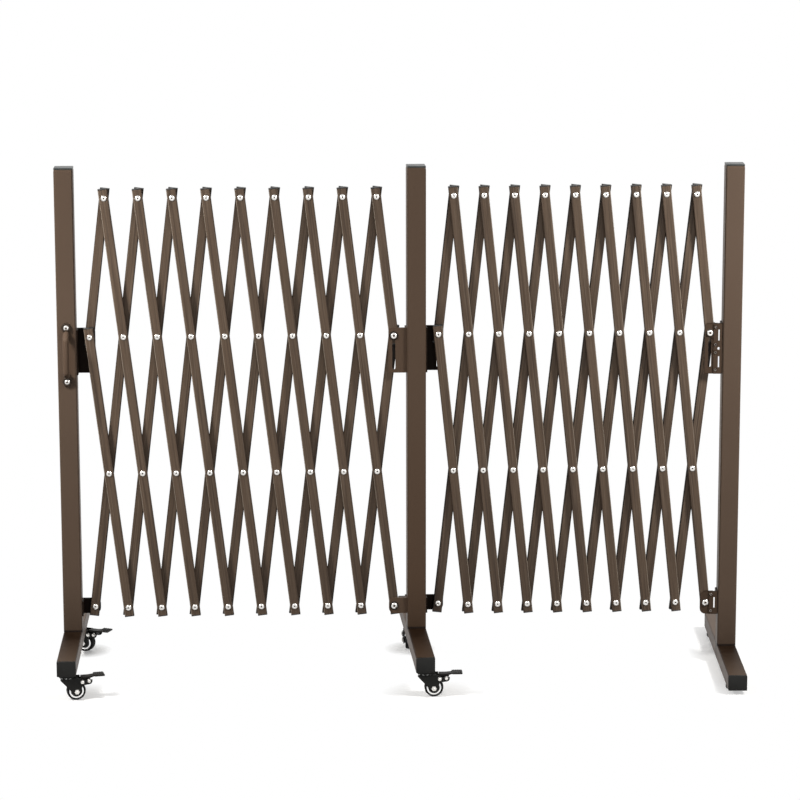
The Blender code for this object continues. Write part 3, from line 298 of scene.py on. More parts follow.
@dataclass(frozen=True)
class SlatCoat(PowderCoat):
    """Powder coat on a drawn tube: lines run along it, with painted highlights and painted shade along its long
    edges and painted shadow near its crossings.
    """

    shade: Colour = (0.042, 0.029, 0.021)
    # painted highlight along the front slats' near edge; the next colours are painted shade and painted shadow
    painted_light: Colour = (0.30, 0.25, 0.20)
    painted_shade: Colour = (0.014, 0.009, 0.006)
    black_shade: Colour = (0.003, 0.002, 0.002)
    flank_shade: Colour = (0.040, 0.027, 0.018)
    dark_lines: Spot = (330.0, 330.0, 5.0)
    pale_lines: Spot = (470.0, 470.0, 8.0)
    highlight_breaks: Spot = (90.0, 90.0, 30.0)
    low: Point = (200 * MM, 480 * MM)
    inner: Point = (150 * MM, 700 * MM)
    crossing_shadow: Point = (12 * MM, 75 * MM)
    slot: Point = (76 * MM, 4 * MM)
    # from a tube's middle line, where a tint starts and where it is full
    shaded_edge: Point = (6.8 * MM, 8.8 * MM)
    highlight_edge: Point = (8.4 * MM, 9.1 * MM)
    near_shade_edge: Point = (8.2 * MM, 9.3 * MM)
    black_shade_edge: Point = (7.4 * MM, 8.8 * MM)
    flank_edge: Point = (9.4 * MM, 9.8 * MM)

    def dressed(self, section: "Side", layer: "Layer") -> bpy.types.Material:
        """The coat of one layer of one section, with the drawing lines of its tubes.

        Args:
            section: LEFT or RIGHT.
            layer: the slats' layer.

        Returns:
            The material, made once.
        """
        name, front = f"{self.name}_{section.value}_{layer.name.lower()}", layer is Layer.FRONT
        if name in bpy.data.materials:
            return bpy.data.materials[name]
        board, angle = Board(name), LAYOUT.angle(section)
        lean = layer.value * angle
        colour, rough, normal = self.coat(board)
        dark, pale = (board.noise(lines, 2.0, 0.55, lean) for lines in (self.dark_lines, self.pale_lines))
        drawn = board.mix(dark.ramp(0.46, 0.70) * 0.80, colour, self.shade)
        lined = board.mix(pale.ramp(0.50, 0.72) * 0.65, drawn, self.grain)
        x, y, z = board.place()
        # painted shade: the slats darken towards the bottom near the middle post
        inward = x.near(LAYOUT.post_x(Side.MIDDLE), *self.inner)
        lined = board.mix(z.fall(*self.low) * inward * 0.40, lined, self.shade)
        start, cosine, sine = LAYOUT.pivot(section, 0, 0.0), math.cos(lean), math.sin(lean)
        across = x * cosine - z * sine - (start.x * cosine - start.z * sine)
        pitch = 2 * LAYOUT.spacing * math.sin(angle) * math.cos(angle)
        wrapped = board.math("WRAP", across, pitch / 2, -pitch / 2)
        turned = wrapped * (1.0 if section is Side.LEFT else -1.0)
        if front:
            face = (y + LAYOUT.slat_face).fall(1.0 * MM, 2.2 * MM)
            highlight_share = 0.60 + 0.6 * board.noise(self.highlight_breaks, 2.0, 0.5, lean)
            # painted shade along the far edge of the front slats, mirrored between the sections
            edge_shaded = board.mix(turned.ramp(*self.shaded_edge) * 0.55, lined, self.shade)
            # painted highlight: a pale line along the near edge of the front face, broken by noise
            edged = board.mix((0.0 - turned).ramp(*self.highlight_edge) * face * highlight_share, edge_shaded, self.painted_light)
        else:
            # painted shadow of the front slats on the back slats near each crossing
            crossing = board.math("PINGPONG", z - LAYOUT.lower_row, LAYOUT.spacing * math.cos(angle) / 2)
            painted_light = board.mix(crossing.fall(*self.crossing_shadow) * 0.36, lined, self.painted_shade)
            # painted shadow on the back slat's face behind the bracket at the section's end
            end = LAYOUT.pivot(section, 2, LAYOUT.cells)
            lowest, highest = (end.z - depth for depth in self.slot)
            below = (z > lowest) & (z < highest) & (y < 2 * MM)
            slot_shadowed = board.mix(x.near(end.x, 3 * MM, 4 * MM) * below * 0.9, painted_light, self.black_shade)
            # painted shade along both long edges of the back slats, near-black on the far edge
            near_shaded = board.mix((0.0 - turned).ramp(*self.near_shade_edge) * 0.6, slot_shadowed, self.painted_shade)
            edged = board.mix(turned.ramp(*self.black_shade_edge) * 0.95, near_shaded, self.black_shade)
        wide = board.principled(edged, rough, normal, self.gloss)
        # painted shade: the side faces of the slats get a flat dark colour, darkest on the back slats
        narrow = board.principled(self.flank_shade if front else self.painted_shade, rough, normal, 0.02)
        return board.close(board.blend(abs(wrapped).ramp(*self.flank_edge), wide, narrow))


@dataclass(frozen=True)
class PlateCoat(PowderCoat):
    """Powder coat on a pressed plate, with painted shade along its edges and round the seats of its eyelets."""

    edge: Colour = (0.007, 0.004, 0.0025)
    rim: float = 1.5 * MM
    seat: Point = (3.4 * MM, 4.6 * MM)

    def dressed(self, name: str, eyelets: Sequence[Vector]) -> bpy.types.Material:
        """The coat of one bracket.

        Args:
            name: the bracket's node.
            eyelets: centres of its eyelets.

        Returns:
            The material.
        """
        board = Board(f"{self.name}_{name}")
        colour, rough, normal = self.coat(board)
        x, _, z = board.place()
        low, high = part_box(name)
        # painted shade along the plate's edges and round each eyelet seat
        dark = (x - low.x).fall(0.0, self.rim) | (x - high.x).ramp(-self.rim * 1.6, -self.rim * 0.8)
        dark = dark | (z - low.z).fall(0.0, self.rim) | (z - high.z).ramp(-self.rim, 0.0)
        for spot in eyelets:
            away = board.math("SQRT", (x - spot.x) * (x - spot.x) + (z - spot.z) * (z - spot.z))
            dark = dark | away.fall(*self.seat)
        edged = board.mix(dark * 0.9, colour, self.edge)
        return board.close(board.principled(edged, rough, normal, self.gloss))


@dataclass(frozen=True)
class PostCoat(PowderCoat):
    """Powder coat on a post, with its plastic caps and dark welds; heat tint and painted shade at its foot,
    painted shade on its corners and beside the handle, and near-black painted shade on the brackets to its
    right.
    """

    plastic: Colour = (0.006, 0.007, 0.007)
    fore: Colour = (0.088, 0.058, 0.040)
    # rear: painted shade, near-black, on the brackets to the right of the post
    rear: Colour = (0.010, 0.006, 0.004)
    scorch_and_shade: Colour = (0.024, 0.013, 0.007)
    seam: Colour = (0.006, 0.004, 0.003)
    sole_shade: Colour = (0.011, 0.0055, 0.0028)
    handle_shadow: Colour = (0.050, 0.028, 0.016)
    umber: Colour = (0.058, 0.030, 0.014)
    umber_fade: Point = (150 * MM, 600 * MM)
    top_darkening: Point = (700 * MM, 1050 * MM)
    heat_and_shade_heights: Point = (14 * MM, 110 * MM)
    corner_edge: Point = (2.8 * MM, 0.8 * MM)
    seam_edge: Point = (1.5 * MM, 4.5 * MM)
    sole_edge: Point = (1.0 * MM, 2.0 * MM)
    sole_shade_reach: Point = (45 * MM, 275 * MM)
    middle_sole_shade_reach: Point = (45 * MM, 340 * MM)

    def dressed(self, post: "Post") -> bpy.types.Material:
        """The coat of one post.

        Args:
            post: the post, for its place, turn and heights.

        Returns:
            The material.
        """
        board = Board(f"{self.name}_{post.side.value}")
        colour, rough, normal = self.coat(board)
        x, y, z = board.place()
        if post.side is Side.MIDDLE:
            colour = board.mix(0.60 - 0.30 * z.ramp(*self.umber_fade), colour, self.umber)
        elif post.side is Side.LEFT:
            # the left post is darker towards its top
            colour = board.mix(z.ramp(*self.top_darkening) * 0.26, colour, self.scorch_and_shade)
        cosine, sine, half = math.cos(post.turn), math.sin(post.turn), post.width / 2
        sideways = (x - post.x) * cosine + y * sine
        lengthwise = y * cosine - (x - post.x) * sine
        across, along, above = abs(sideways), abs(lengthwise), z - post.foot_top
        cap = (z > post.height - post.cap_depth) | (along > post.foot_length / 2 - post.end_cap_depth)
        bracket = (across > half + 0.35 * MM) & (z > post.foot_top + 2 * MM)
        # heat tint and painted shade: the post's base and the foot darken near the weld
        stem, skirt = (above.fall(0.0, top) for top in self.heat_and_shade_heights)
        heat_and_shade = ((stem * stem) | (skirt * 0.45)) & (along < half + 1 * MM)
        mottle = board.noise(60.0, 3.0)
        heat_shaded = board.mix(heat_and_shade * (0.55 + 0.6 * mottle), colour, self.scorch_and_shade)
        front = lengthwise < 0.6 * MM - half
        # painted shade along the front corners of the post
        corner = across.ramp(*(half - depth for depth in self.corner_edge)) & front
        edged = board.mix(corner * 0.35, heat_shaded, self.scorch_and_shade)
        if post.side is Side.LEFT:
            # painted shadow of the handle's bar on the post's face, to the right of the handle
            grip = PullHandle()
            handle_shaded = z.near(grip.height, grip.centres * 0.36, grip.centres * 0.52) & front
            edged = board.mix(handle_shaded * sideways.ramp(0.0, 7 * MM) * 0.5, edged, self.handle_shadow)
        joint = abs(above).fall(*self.seam_edge) & (across < half + 1 * MM) & (along < half + 3 * MM)
        seamed = board.mix(joint, edged, self.seam)
        # painted shade on the foot's top in front of the post, nearly without gloss
        sole_shade_reach = self.middle_sole_shade_reach if post.side is Side.MIDDLE else self.sole_shade_reach
        sole_shaded = board.mix((along - half).fall(*sole_shade_reach) * (0.80 + 0.30 * mottle), seamed, self.sole_shade)
        beside = abs(above).fall(*self.sole_edge) & (along > half - 1 * MM) & (lengthwise < 0.0)
        coated = board.principled(seamed, rough, normal, self.gloss)
        shaded_sole = board.principled(sole_shaded, rough, normal, 0.03)
        # painted shade: the brackets to the post's right are near-black and nearly matt
        plated = board.principled(board.mix(sideways > 0.0, self.fore, self.rear), rough, normal, 0.04)
        moulded = board.principled(self.plastic, rough, normal, 0.3)
        metal = board.blend(bracket, board.blend(beside, coated, shaded_sole), plated)
        return board.close(board.blend(cap, metal, moulded))


@dataclass(frozen=True)
class Moulded:
    """Moulded black plastic or rubber, finely grained, with a little dust in its hollows."""

    name: str
    colour: Colour
    roughness: float
    grain: float = 700.0
    depth: float = 5e-5
    dust: Colour = (0.06, 0.056, 0.052)
    dusting: float = 0.10
    gloss: float = 0.28

    def material(self) -> bpy.types.Material:
        """Grained, dusted plastic."""
        board = Board(self.name)
        inputs = {"Vector": board.stretched(self.grain), "Scale": 1.0}
        grain = board.number("ShaderNodeTexVoronoi", {"feature": "F1"}, inputs, "Distance")
        dust = board.noise(45.0, 4.0, 0.65)
        colour = board.mix(dust.ramp(0.45, 0.8) * self.dusting, self.colour, self.dust)
        rough, normal = self.roughness + (dust - 0.5) * 0.16, board.bump(grain, self.depth, 0.5)
        return board.close(board.principled(colour, rough, normal, self.gloss))


@dataclass(frozen=True)
class BrightMetal:
    """Zinc or chrome plate with fine turning marks and slight clouding."""

    name: str
    colour: Colour
    roughness: float
    cloud: Colour

    def material(self) -> bpy.types.Material:
        """Plated metal."""
        board = Board(self.name)
        cloud = board.noise(160.0, 3.0, 0.6)
        colour = board.mix(cloud.ramp(0.5, 0.8) * 0.5, self.colour, self.cloud)
        rough, marks = self.roughness + cloud.ramp(0.4, 0.8) * 0.12, board.noise(2600.0, 1.0)
        return board.close(board.principled(colour, rough, board.bump(marks, 0.00001, 0.3), metallic=1.0))


@dataclass(frozen=True)
class Weld:
    """A coated weld seam: dark, with the ripples of its runs."""

    name: str
    colour: Colour

    def material(self) -> bpy.types.Material:
        """Rippled, darkened coat."""
        board = Board(self.name)
        ripple = board.noise((900.0, 900.0, 500.0))
        colour = board.mix(ripple.ramp(0.5, 0.8) * 0.4, self.colour, tinted(self.colour, 2.2))
        return board.close(board.principled(colour, 0.6, board.bump(ripple, 0.0004, 0.8), 0.06))


class Finish(Enum):
    """The finishes of the object's pieces."""

    SLAT = SlatCoat("slat_coat", (0.096, 0.065, 0.044), (0.162, 0.120, 0.088))
    POST = PostCoat("post_coat", (0.086, 0.057, 0.039), (0.132, 0.096, 0.070))
    BRACKET = PlateCoat("bracket_coat", (0.056, 0.036, 0.024), (0.090, 0.062, 0.043), 0.50, 5e-5, 0.08)
    HANDLE = PowderCoat("handle_coat", (0.094, 0.062, 0.043), (0.140, 0.104, 0.076), 0.58, 6e-5, 0.06)
    # collar_coat is darker than the handle as painted shade round the bosses
    COLLAR = PowderCoat("collar_coat", (0.032, 0.021, 0.014), (0.060, 0.044, 0.032))
    CASTER_STEEL = PowderCoat("caster_coat", (0.012, 0.012, 0.011), (0.028, 0.028, 0.027), 0.42, 5e-5, 0.12)
    CAP = Moulded("cap_plastic", (0.006, 0.009, 0.008), 0.34, 600.0, 4e-5, gloss=0.38, dusting=0.05)
    FOOT_CAP = Moulded("foot_cap_plastic", (0.012, 0.012, 0.011), 0.50, 600.0, 4e-5, gloss=0.16)
    PLUG = Moulded("plug_plastic", (0.009, 0.010, 0.010), 0.42, gloss=0.4)
    PEDAL = Moulded("pedal_plastic", (0.011, 0.010, 0.009), 0.44, 500.0, 8e-5, (0.09, 0.08, 0.07), 0.22, 0.16)
    TYRE = Moulded("tyre_rubber", (0.008, 0.008, 0.008), 0.62, 900.0, 4e-5, gloss=0.12)
    PAD = Moulded("pad_rubber", (0.009, 0.009, 0.009), 0.75, 600.0, 8e-5)
    HUB = Moulded("hub_plastic", (0.014, 0.014, 0.014), 0.42)
    RECESS = Moulded("recess_shadow", (0.008, 0.006, 0.005), 0.60)
    # painted shade with a brown painted reflection inside the hexagon sockets
    SOCKET = Moulded("socket_bronze", (0.070, 0.042, 0.026), 0.50)
    ZINC = BrightMetal("bright_zinc", (0.72, 0.70, 0.67), 0.20, (0.54, 0.52, 0.48))
    CHROME = BrightMetal("bright_chrome", (0.80, 0.80, 0.80), 0.14, (0.66, 0.66, 0.66))
    DULL = BrightMetal("dull_rivet", (0.34, 0.29, 0.25), 0.34, (0.16, 0.13, 0.11))
    WASHER = PowderCoat("dark_washer", (0.014, 0.010, 0.008), (0.030, 0.024, 0.020), 0.46, 4e-5, 0.10)
    WELD = Weld("weld_seam", (0.008, 0.005, 0.004))

    def material(self) -> bpy.types.Material:
        """The finish's material, made once."""
        return bpy.data.materials.get(self.value.name) or self.value.material()


# Mesh making


def scaled(radius: float, height: float, *points: Point) -> list[Point]:
    """A profile whose points are given as shares of a radius and a height."""
    return [(radius * across, height * up) for across, up in points]


def mirrored(half: Sequence[Point]) -> list[Point]:
    """A profile and, backwards, its image on the other side of height 0."""
    return [*half, *((across, -up) for across, up in reversed(half))]


def facing(spot: Sequence[float], way: Sequence[float]) -> Matrix:
    """Axes at a spot with local Z along a direction."""
    return Matrix.Translation(spot) @ Vector(way).to_track_quat("Z", "Y").to_matrix().to_4x4()


def seat(spot: Vector, depth: float, way: float) -> Matrix:
    """Axes on a pivot's line at a depth, to face the front (-1.0) or the back (1.0)."""
    return facing((spot.x, depth, spot.z), (0.0, way, 0.0))


def turns(steps: int) -> list[float]:
    """The angles of the steps round a circle."""
    return [2 * math.pi * step / steps for step in range(steps)]


def linked(name: str, data: Any) -> bpy.types.Object:
    """Put new data in the scene.

    Args:
        name: the object's name.
        data: its mesh, light or camera.

    Returns:
        The object.
    """
    made = bpy.data.objects.new(name, data)
    bpy.context.scene.collection.objects.link(made)
    return made


class Shape:
    """A mesh under construction, in the frame's metres."""

    def __init__(self) -> None:
        """Start with nothing."""
        self.mesh = bmesh.new()

    def ring(self, spots: Iterator[Vector]) -> Ring:
        """Add the vertices of a ring."""
        return [self.mesh.verts.new(spot) for spot in spots]

    def skin(self, rings: Sequence[Ring], closed: bool = False, capped: bool = False) -> "Shape":
        """Join rings with faces.

        Args:
            rings: rings of one count, or poles of one vertex.
            closed: join the last ring to the first.
            capped: fill the first and the last ring.

        Returns:
            This shape.
        """
        sides = max(len(ring) for ring in rings)
        for lower, upper in list(zip(rings, rings[1:])) + ([(rings[-1], rings[0])] if closed else []):
            for step in range(sides):
                after = (step + 1) % sides
                corners = [lower[step % len(lower)], lower[after % len(lower)],
                           upper[after % len(upper)], upper[step % len(upper)]]
                unique = list(dict.fromkeys(corners))
                if len(unique) > 2:
                    self.mesh.faces.new(unique)
        for ring in (rings[0], rings[-1]) if capped else ():
            self.mesh.faces.new(ring)
        return self

    def lathe(self, profile: Sequence[Point], sides: int, at: Matrix, closed: bool = False) -> "Shape":
        """Turn a profile about the local Z axis.

        Args:
            profile: (radius, height) points; a radius of zero closes to a pole.
            sides: how many steps a turn takes.
            at: where the local axes lie.
            closed: join the last point to the first, for a ring.

        Returns:
            This shape.
        """
        return self.skin([
            self.ring(at @ Vector((radius * math.cos(turn), radius * math.sin(turn), height))
                      for turn in (turns(sides) if radius > 0.0 else (0.0,)))
            for radius, height in profile
        ], closed)

    def slab(self, low: Spot, high: Spot, at: Matrix, edge: float) -> "Shape":
        """Add a box with rounded edges.

        Args:
            low: lowest local corner.
            high: highest local corner.
            at: where the local axes lie.
            edge: rounding radius.

        Returns:
            This shape.
        """
        size = [h - l for l, h in zip(low, high)]
        centre = [(h + l) / 2 for l, h in zip(low, high)]
        stretch = Matrix.Translation(centre) @ Matrix.Diagonal((*size, 1.0))
        made = bmesh.ops.create_cube(self.mesh, size=1.0, matrix=at @ stretch)
        edges = list({side for vert in made["verts"] for side in vert.link_edges})
        bmesh.ops.bevel(self.mesh, geom=edges, offset=edge, segments=3, affect="EDGES", profile=0.5)
        return self

    def prism(self, size: Point, corner: float, span: Point, edge: float, at: Matrix) -> "Shape":
        """Add a cap: a rectangle with rounded corners, standing on local Z, its far edge broken.

        Args:
            size: width and depth.
            corner: radius of the four corners.
            span: start and end along local Z.
            edge: size of the broken edge.
            at: where the local axes lie.

        Returns:
            This shape.
        """
        rings, (width, depth), (low, high) = [], size, span
        for inset, height in ((0.0, low), (0.0, high - edge), (edge * 0.3, high - edge * 0.3), (edge, high)):
            radius, steps, spots = corner - inset, 6, []
            for step in range(4 * steps):
                quarter, part = divmod(step, steps)
                angle = math.pi / 2 * (quarter + part / (steps - 1))
                middle = math.pi / 2 * quarter + math.pi / 4
                x = math.copysign(width / 2 - corner, math.cos(middle)) + radius * math.cos(angle)
                y = math.copysign(depth / 2 - corner, math.sin(middle)) + radius * math.sin(angle)
                spots.append(at @ Vector((x, y, height)))
            rings.append(self.ring(spots))
        return self.skin(rings, capped=True)

    def bead(self, route: Sequence[Vector], radius: float, waves: float, sides: int,
             across: Optional[Vector] = None) -> "Shape":
        """Add a weld bead, a rope of small ripples along a route, or with no waves a round bar.

        Args:
            route: points of its centre line.
            radius: mean radius.
            waves: share of the radius that ripples.
            sides: faces round it.
            across: a direction that the route never takes, where it turns through more than one plane.

        Returns:
            This shape.
        """
        rings = []
        for index, spot in enumerate(route):
            along = (route[min(index + 1, len(route) - 1)] - route[max(index - 1, 0)]).normalized()
            up = across or (Vector((0.0, 0.0, 1.0)) if abs(along.z) < 0.9 else Vector((0.0, 1.0, 0.0)))
            side = along.cross(up).normalized()
            over = side.cross(along).normalized()
            thick = radius * (1.0 + waves * math.sin(index * 2.1) + 0.5 * waves * math.sin(index * 0.77))
            rings.append(self.ring(spot + thick * (math.cos(turn) * side + math.sin(turn) * over)
                                   for turn in turns(sides)))
        return self.skin(rings, capped=True)

    def piece(self, name: str, finish: Finish, body: str, slot: str, angle: float = 34.0,
              replaces: Sequence[str] = ()) -> None:
        """Close the mesh into a named piece that rides on a body.

        Args:
            name: the piece's name.
            finish: its finish.
            body: the CAD body that carries it.
            slot: not used.
            angle: sharpest corner, in degrees, that is shaded smooth.
            replaces: CAD nodes that it stands for.
        """
        bmesh.ops.recalc_face_normals(self.mesh, faces=self.mesh.faces)
        data = bpy.data.meshes.new(name)
        self.mesh.to_mesh(data)
        self.mesh.free()
        for face in data.polygons:
            face.use_smooth = True
        data.set_sharp_from_angle(angle=math.radians(angle))
        data.materials.append(finish.material())
        made = linked(name, data)
        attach(made, body)
        if replaces:
            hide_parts(*replaces)
        LOG.info("piece %s: %d faces, on %s", name, len(data.polygons), body)


def dress_node(node: bpy.types.Object, material: bpy.types.Material) -> None:
    """Give a CAD node its finish.

    Args:
        node: the CAD object.
        material: the material for all its slots.
    """
    if not node.material_slots:
        node.data.materials.append(material)
    for place in node.material_slots:
        place.material = material
    LOG.info("node %s: %s", node.name, material.name)


# Layout, in the frame's metres


class Side(Enum):
    """The three posts, from the handle's to the one on pads."""

    LEFT = "left"
    MIDDLE = "middle"
    RIGHT = "right"


class Layer(Enum):
    """The two layers of slats."""

    FRONT = -1
    BACK = 1


@dataclass(frozen=True)
class Layout:
    """Places shared by the sub-assemblies, as in the CAD model."""

    post_width: float = 40 * MM
    reach: float = 27.5 * MM
    spacing: float = 298.5 * MM
    lower_row: float = 137.7 * MM
    cells: int = 9
    left_angle: float = math.radians(6.89)
    right_angle: float = math.radians(6.18)
    middle_turn: float = math.radians(2.5)
    right_turn: float = math.radians(-1.4)
    foot_length: float = 500 * MM
    slat_face: float = 10.6 * MM
    plate_near: float = 11.2 * MM
    plate_far: float = 14.2 * MM
    running: float = 0.3 * MM
    web_thickness: float = 2.2 * MM

    def angle(self, section: Side) -> float:
        """How far a section's slats lean."""
        return self.left_angle if section is Side.LEFT else self.right_angle

    def span(self, angle: float) -> float:
        """Distance between the posts of a section whose slats lean by an angle."""
        return self.post_width + 2 * self.reach + 2 * self.cells * self.spacing * math.sin(angle)

    def post_x(self, side: Side) -> float:
        """Where a post stands.

        Args:
            side: which post.

        Returns:
            Its X.
        """
        left, right, turn = self.span(self.left_angle), self.span(self.right_angle), self.right_turn
        half = self.foot_length / 2 * math.sin(abs(turn)) + self.post_width / 2 * math.cos(turn)
        start = (self.post_width / 2 - left - right - half) / 2
        return {Side.LEFT: start, Side.MIDDLE: start + left, Side.RIGHT: start + left + right}[side]

    def turn(self, side: Side) -> float:
        """How far a post is turned about its own axis."""
        return {Side.LEFT: 0.0, Side.MIDDLE: self.middle_turn, Side.RIGHT: self.right_turn}[side]

    def pivot(self, section: Side, row: int, column: float) -> Vector:
        """A crossing of a section.

        Args:
            section: LEFT or RIGHT.
            row: 0 at the bottom to 3 at the top.
            column: 0 at the section's left post to 9 at its right post.

        Returns:
            The place, midway between the layers.
        """
        angle, start = self.angle(section), self.post_x(Side.LEFT if section is Side.LEFT else Side.MIDDLE)
        across = 2 * self.spacing * math.sin(angle) * column
        up = row * self.spacing * math.cos(angle)
        return Vector((start + self.post_width / 2 + self.reach + across, 0.0, self.lower_row + up))


LAYOUT = Layout()


# Lattice


@dataclass(frozen=True)
class Fasteners:
    """Heads of the rivets, bolts and nuts of the lattice, each as a turned cover on its CAD solid."""

    rivet_radius: float = 6.5 * MM
    rivet_height: float = 2.7 * MM
    core_radius: float = 1.7 * MM
    tail_radius: float = 5.3 * MM
    tail_height: float = 2.4 * MM
    bolt_radius: float = 7.3 * MM
    bolt_height: float = 4.0 * MM
    socket_radius: float = 2.6 * MM
    washer_radius: float = 9.3 * MM
    small_washer_radius: float = 7.6 * MM
    washer_bore: float = 4.0 * MM
    washer_thickness: float = 0.9 * MM
    nut_radius: float = 8.2 * MM
    nut_height: float = 4.4 * MM
    head_seat: float = 0.3 * MM
    sides: int = 28

    def rivet(self, head: Shape, core: Shape, at: Matrix) -> None:
        """A domed rivet head round the end of its mandrel, painted dark as shade in the hollow.

        Args:
            head: the mesh of the heads.
            core: the mesh of the mandrels' ends.
            at: axes of its seat.
        """
        r, h, c = self.rivet_radius, self.rivet_height, self.core_radius
        dish = [(0.0, h * 0.64), (c, h * 0.64), (c + 0.1 * MM, h * 0.96), (c + 0.5 * MM, h)]
        dome = scaled(r, h, (0.58, 0.95), (0.78, 0.80), (0.92, 0.52), (1.0, 0.14))
        head.lathe([*dish, *dome, (r, -0.2 * MM)], self.sides, at)
        core.lathe(scaled(c, h, (0.0, 0.80), (0.6, 0.79), (0.85, 0.72), (0.96, 0.63)), 14, at)

    def tail(self, shape: Shape, at: Matrix) -> None:
        """The set end of a rivet, dished in its middle.

        Args:
            shape: the mesh to add to.
            at: axes of its seat.
        """
        r, h = self.tail_radius, self.tail_height
        dome = scaled(r, h, (0.0, 0.72), (0.24, 0.72), (0.40, 0.98), (0.62, 1.0), (0.86, 0.62), (1.0, 0.16))
        shape.lathe([*dome, (r, -0.25 * MM)], self.sides, at)

    def bolt(self, head: Shape, socket: Shape, at: Matrix) -> None:
        """A polished dome head of a bolt round its hexagon socket.

        Args:
            head: the mesh of the heads.
            socket: the mesh of the sockets' insides.
            at: axes of its seat.
        """
        r, h, s = self.bolt_radius, self.bolt_height, self.socket_radius
        dome = scaled(r, h, (0.60, 0.97), (0.76, 0.87), (0.88, 0.68), (0.96, 0.42), (1.0, 0.12))
        profile = [(s, h * 0.70), (s, h * 0.96), (s + 0.3 * MM, h), *dome, (r, -0.1 * MM)]
        head.lathe(profile, self.sides, at)
        socket.lathe(scaled(s, h, (0.0, 0.69), (0.8, 0.69), (0.99, 0.80), (0.99, 0.93)), 6, at)

    def washer(self, shape: Shape, radius: float, at: Matrix) -> None:
        """A flat washer under a bolt's head.

        Args:
            shape: the mesh to add to.
            radius: outer radius.
            at: axes of its seat.
        """
        inner, top, edge, foot = self.washer_bore, self.washer_thickness, 0.2 * MM, 0.02 * MM
        profile = [(inner, foot), (inner, top - edge), (radius - edge, top), (radius, top - edge),
                   (radius, foot)]
        shape.lathe(profile, self.sides, at, closed=True)

    def nut(self, shape: Shape, radius: float, height: float, at: Matrix) -> None:
        """A hexagon nut, chamfered, with the rounded end of its bolt.

        Args:
            shape: the mesh to add to.
            radius: to its corners.
            height: of the nut alone.
            at: axes of its seat.
        """
        top = scaled(radius, height, (0.5, 1.0), (0.86, 1.0), (1.0, 0.84))
        end = scaled(radius * 0.5, height, (0.0, 1.28), (0.55, 1.24), (0.92, 1.1), (0.92, 0.99), (1.04, 0.97))
        shape.lathe([*top, (radius, -0.1 * MM)], 6, at).lathe(end, 20, at)


@dataclass(frozen=True)
class Slat:
    """One slat of the lattice with its end plugs and the fasteners that turn with it."""

    section: Side
    layer: Layer
    foot: int
    width: float = 20 * MM
    thickness: float = 10 * MM
    gap: float = 1.2 * MM
    beyond: float = 20 * MM
    plug_length: float = 2.4 * MM
    plug_proud: float = 0.12 * MM
    plug_edge: float = 0.7 * MM
    top_row: int = 3
    slot_row: int = 2

    @property
    def node(self) -> str:
        """The CAD node's name."""
        number = self.foot if self.layer is Layer.FRONT else self.foot + 2
        return f"{self.section.value}_{self.layer.name.lower()}_slat_{number:02d}"

    def spots(self) -> Iterator[tuple[int, float, Vector]]:
        """Each pivot as its row, column and place."""
        for row in range(self.top_row + 1):
            column = self.foot + self.layer.value * row / 2
            if 0 <= column <= LAYOUT.cells:
                yield row, column, LAYOUT.pivot(self.section, row, column)

    def plugs(self) -> None:
        """The black plastic plugs in both ends."""
        shape, proud, half, way = Shape(), self.plug_proud, self.width / 2, self.layer.value
        (lowest, _, base), *_, (highest, _, _) = self.spots()
        at = Matrix.Translation(base) @ Matrix.Rotation(way * LAYOUT.angle(self.section), 4, "Y")
        top = (highest - lowest) * LAYOUT.spacing + self.beyond
        near, far = sorted((way * self.gap / 2, way * (self.gap / 2 + self.thickness)))
        for low, high in ((-self.beyond - proud, -self.beyond + self.plug_length),
                          (top - self.plug_length, top + proud)):
            corners = (-half - proud, near - proud, low), (half + proud, far + proud, high)
            shape.slab(*corners, at, self.plug_edge)
        shape.piece(f"{self.node}_plugs", Finish.PLUG, self.node, "slat_paint")

    def fastenings(self, fasteners: Fasteners) -> None:
        """The rivet heads and bolts that this slat carries.

        Args:
            fasteners: their shapes.
        """
        bright, dark, cores, sockets = Shape(), Shape(), Shape(), Shape()
        front, face, plate = self.layer is Layer.FRONT, LAYOUT.slat_face, LAYOUT.plate_far
        back, over = face + LAYOUT.running, plate + fasteners.head_seat
        for row, column, spot in self.spots():
            first, last = column == 0, column == LAYOUT.cells
            if not (front or (row == 0 and first)):
                continue
            if not ((first or last) and row in (0, self.slot_row)):
                fasteners.rivet(bright, cores, seat(spot, -face, -1.0))
                fasteners.tail(bright, seat(spot, back, 1.0))
            elif first:
                fasteners.rivet(bright, cores, seat(spot, -face if front else self.gap / 2, -1.0))
                fasteners.washer(dark, fasteners.washer_radius, seat(spot, plate, 1.0))
                fasteners.nut(bright, fasteners.nut_radius, fasteners.nut_height, seat(spot, over, 1.0))
            else:
                narrow = self.section is Side.RIGHT
                radius = fasteners.small_washer_radius if narrow else fasteners.washer_radius
                fasteners.washer(dark, radius, seat(spot, -plate, -1.0))
                fasteners.bolt(bright, sockets, seat(spot, -over, -1.0))
                fasteners.tail(bright, seat(spot, back if row else -self.gap / 2, 1.0))
        for shape, kind, finish in (
                (bright, "rivets", Finish.ZINC), (dark, "washers", Finish.WASHER),
                (cores, "rivet_cores", Finish.RECESS), (sockets, "bolt_sockets", Finish.SOCKET)):
            if shape.mesh.faces:
                shape.piece(f"{self.node}_{kind}", finish, self.node, "slat_paint")

    def build(self, nodes: Nodes, fasteners: Fasteners) -> None:
        """Dress the slat.

        Args:
            nodes: the CAD nodes.
            fasteners: shapes of the fasteners.
        """
        dress_node(nodes[self.node], Finish.SLAT.value.dressed(self.section, self.layer))
        self.plugs()
        self.fastenings(fasteners)


@dataclass(frozen=True)
class Lattice:
    """One section of twenty crossed slats."""

    section: Side
    fasteners: Fasteners

    def build(self, nodes: Nodes) -> None:
        """Dress every slat of these nodes."""
        for number in range(1, LAYOUT.cells + 2):
            Slat(self.section, Layer.FRONT, number).build(nodes, self.fasteners)
            Slat(self.section, Layer.BACK, number - 2).build(nodes, self.fasteners)


# Posts


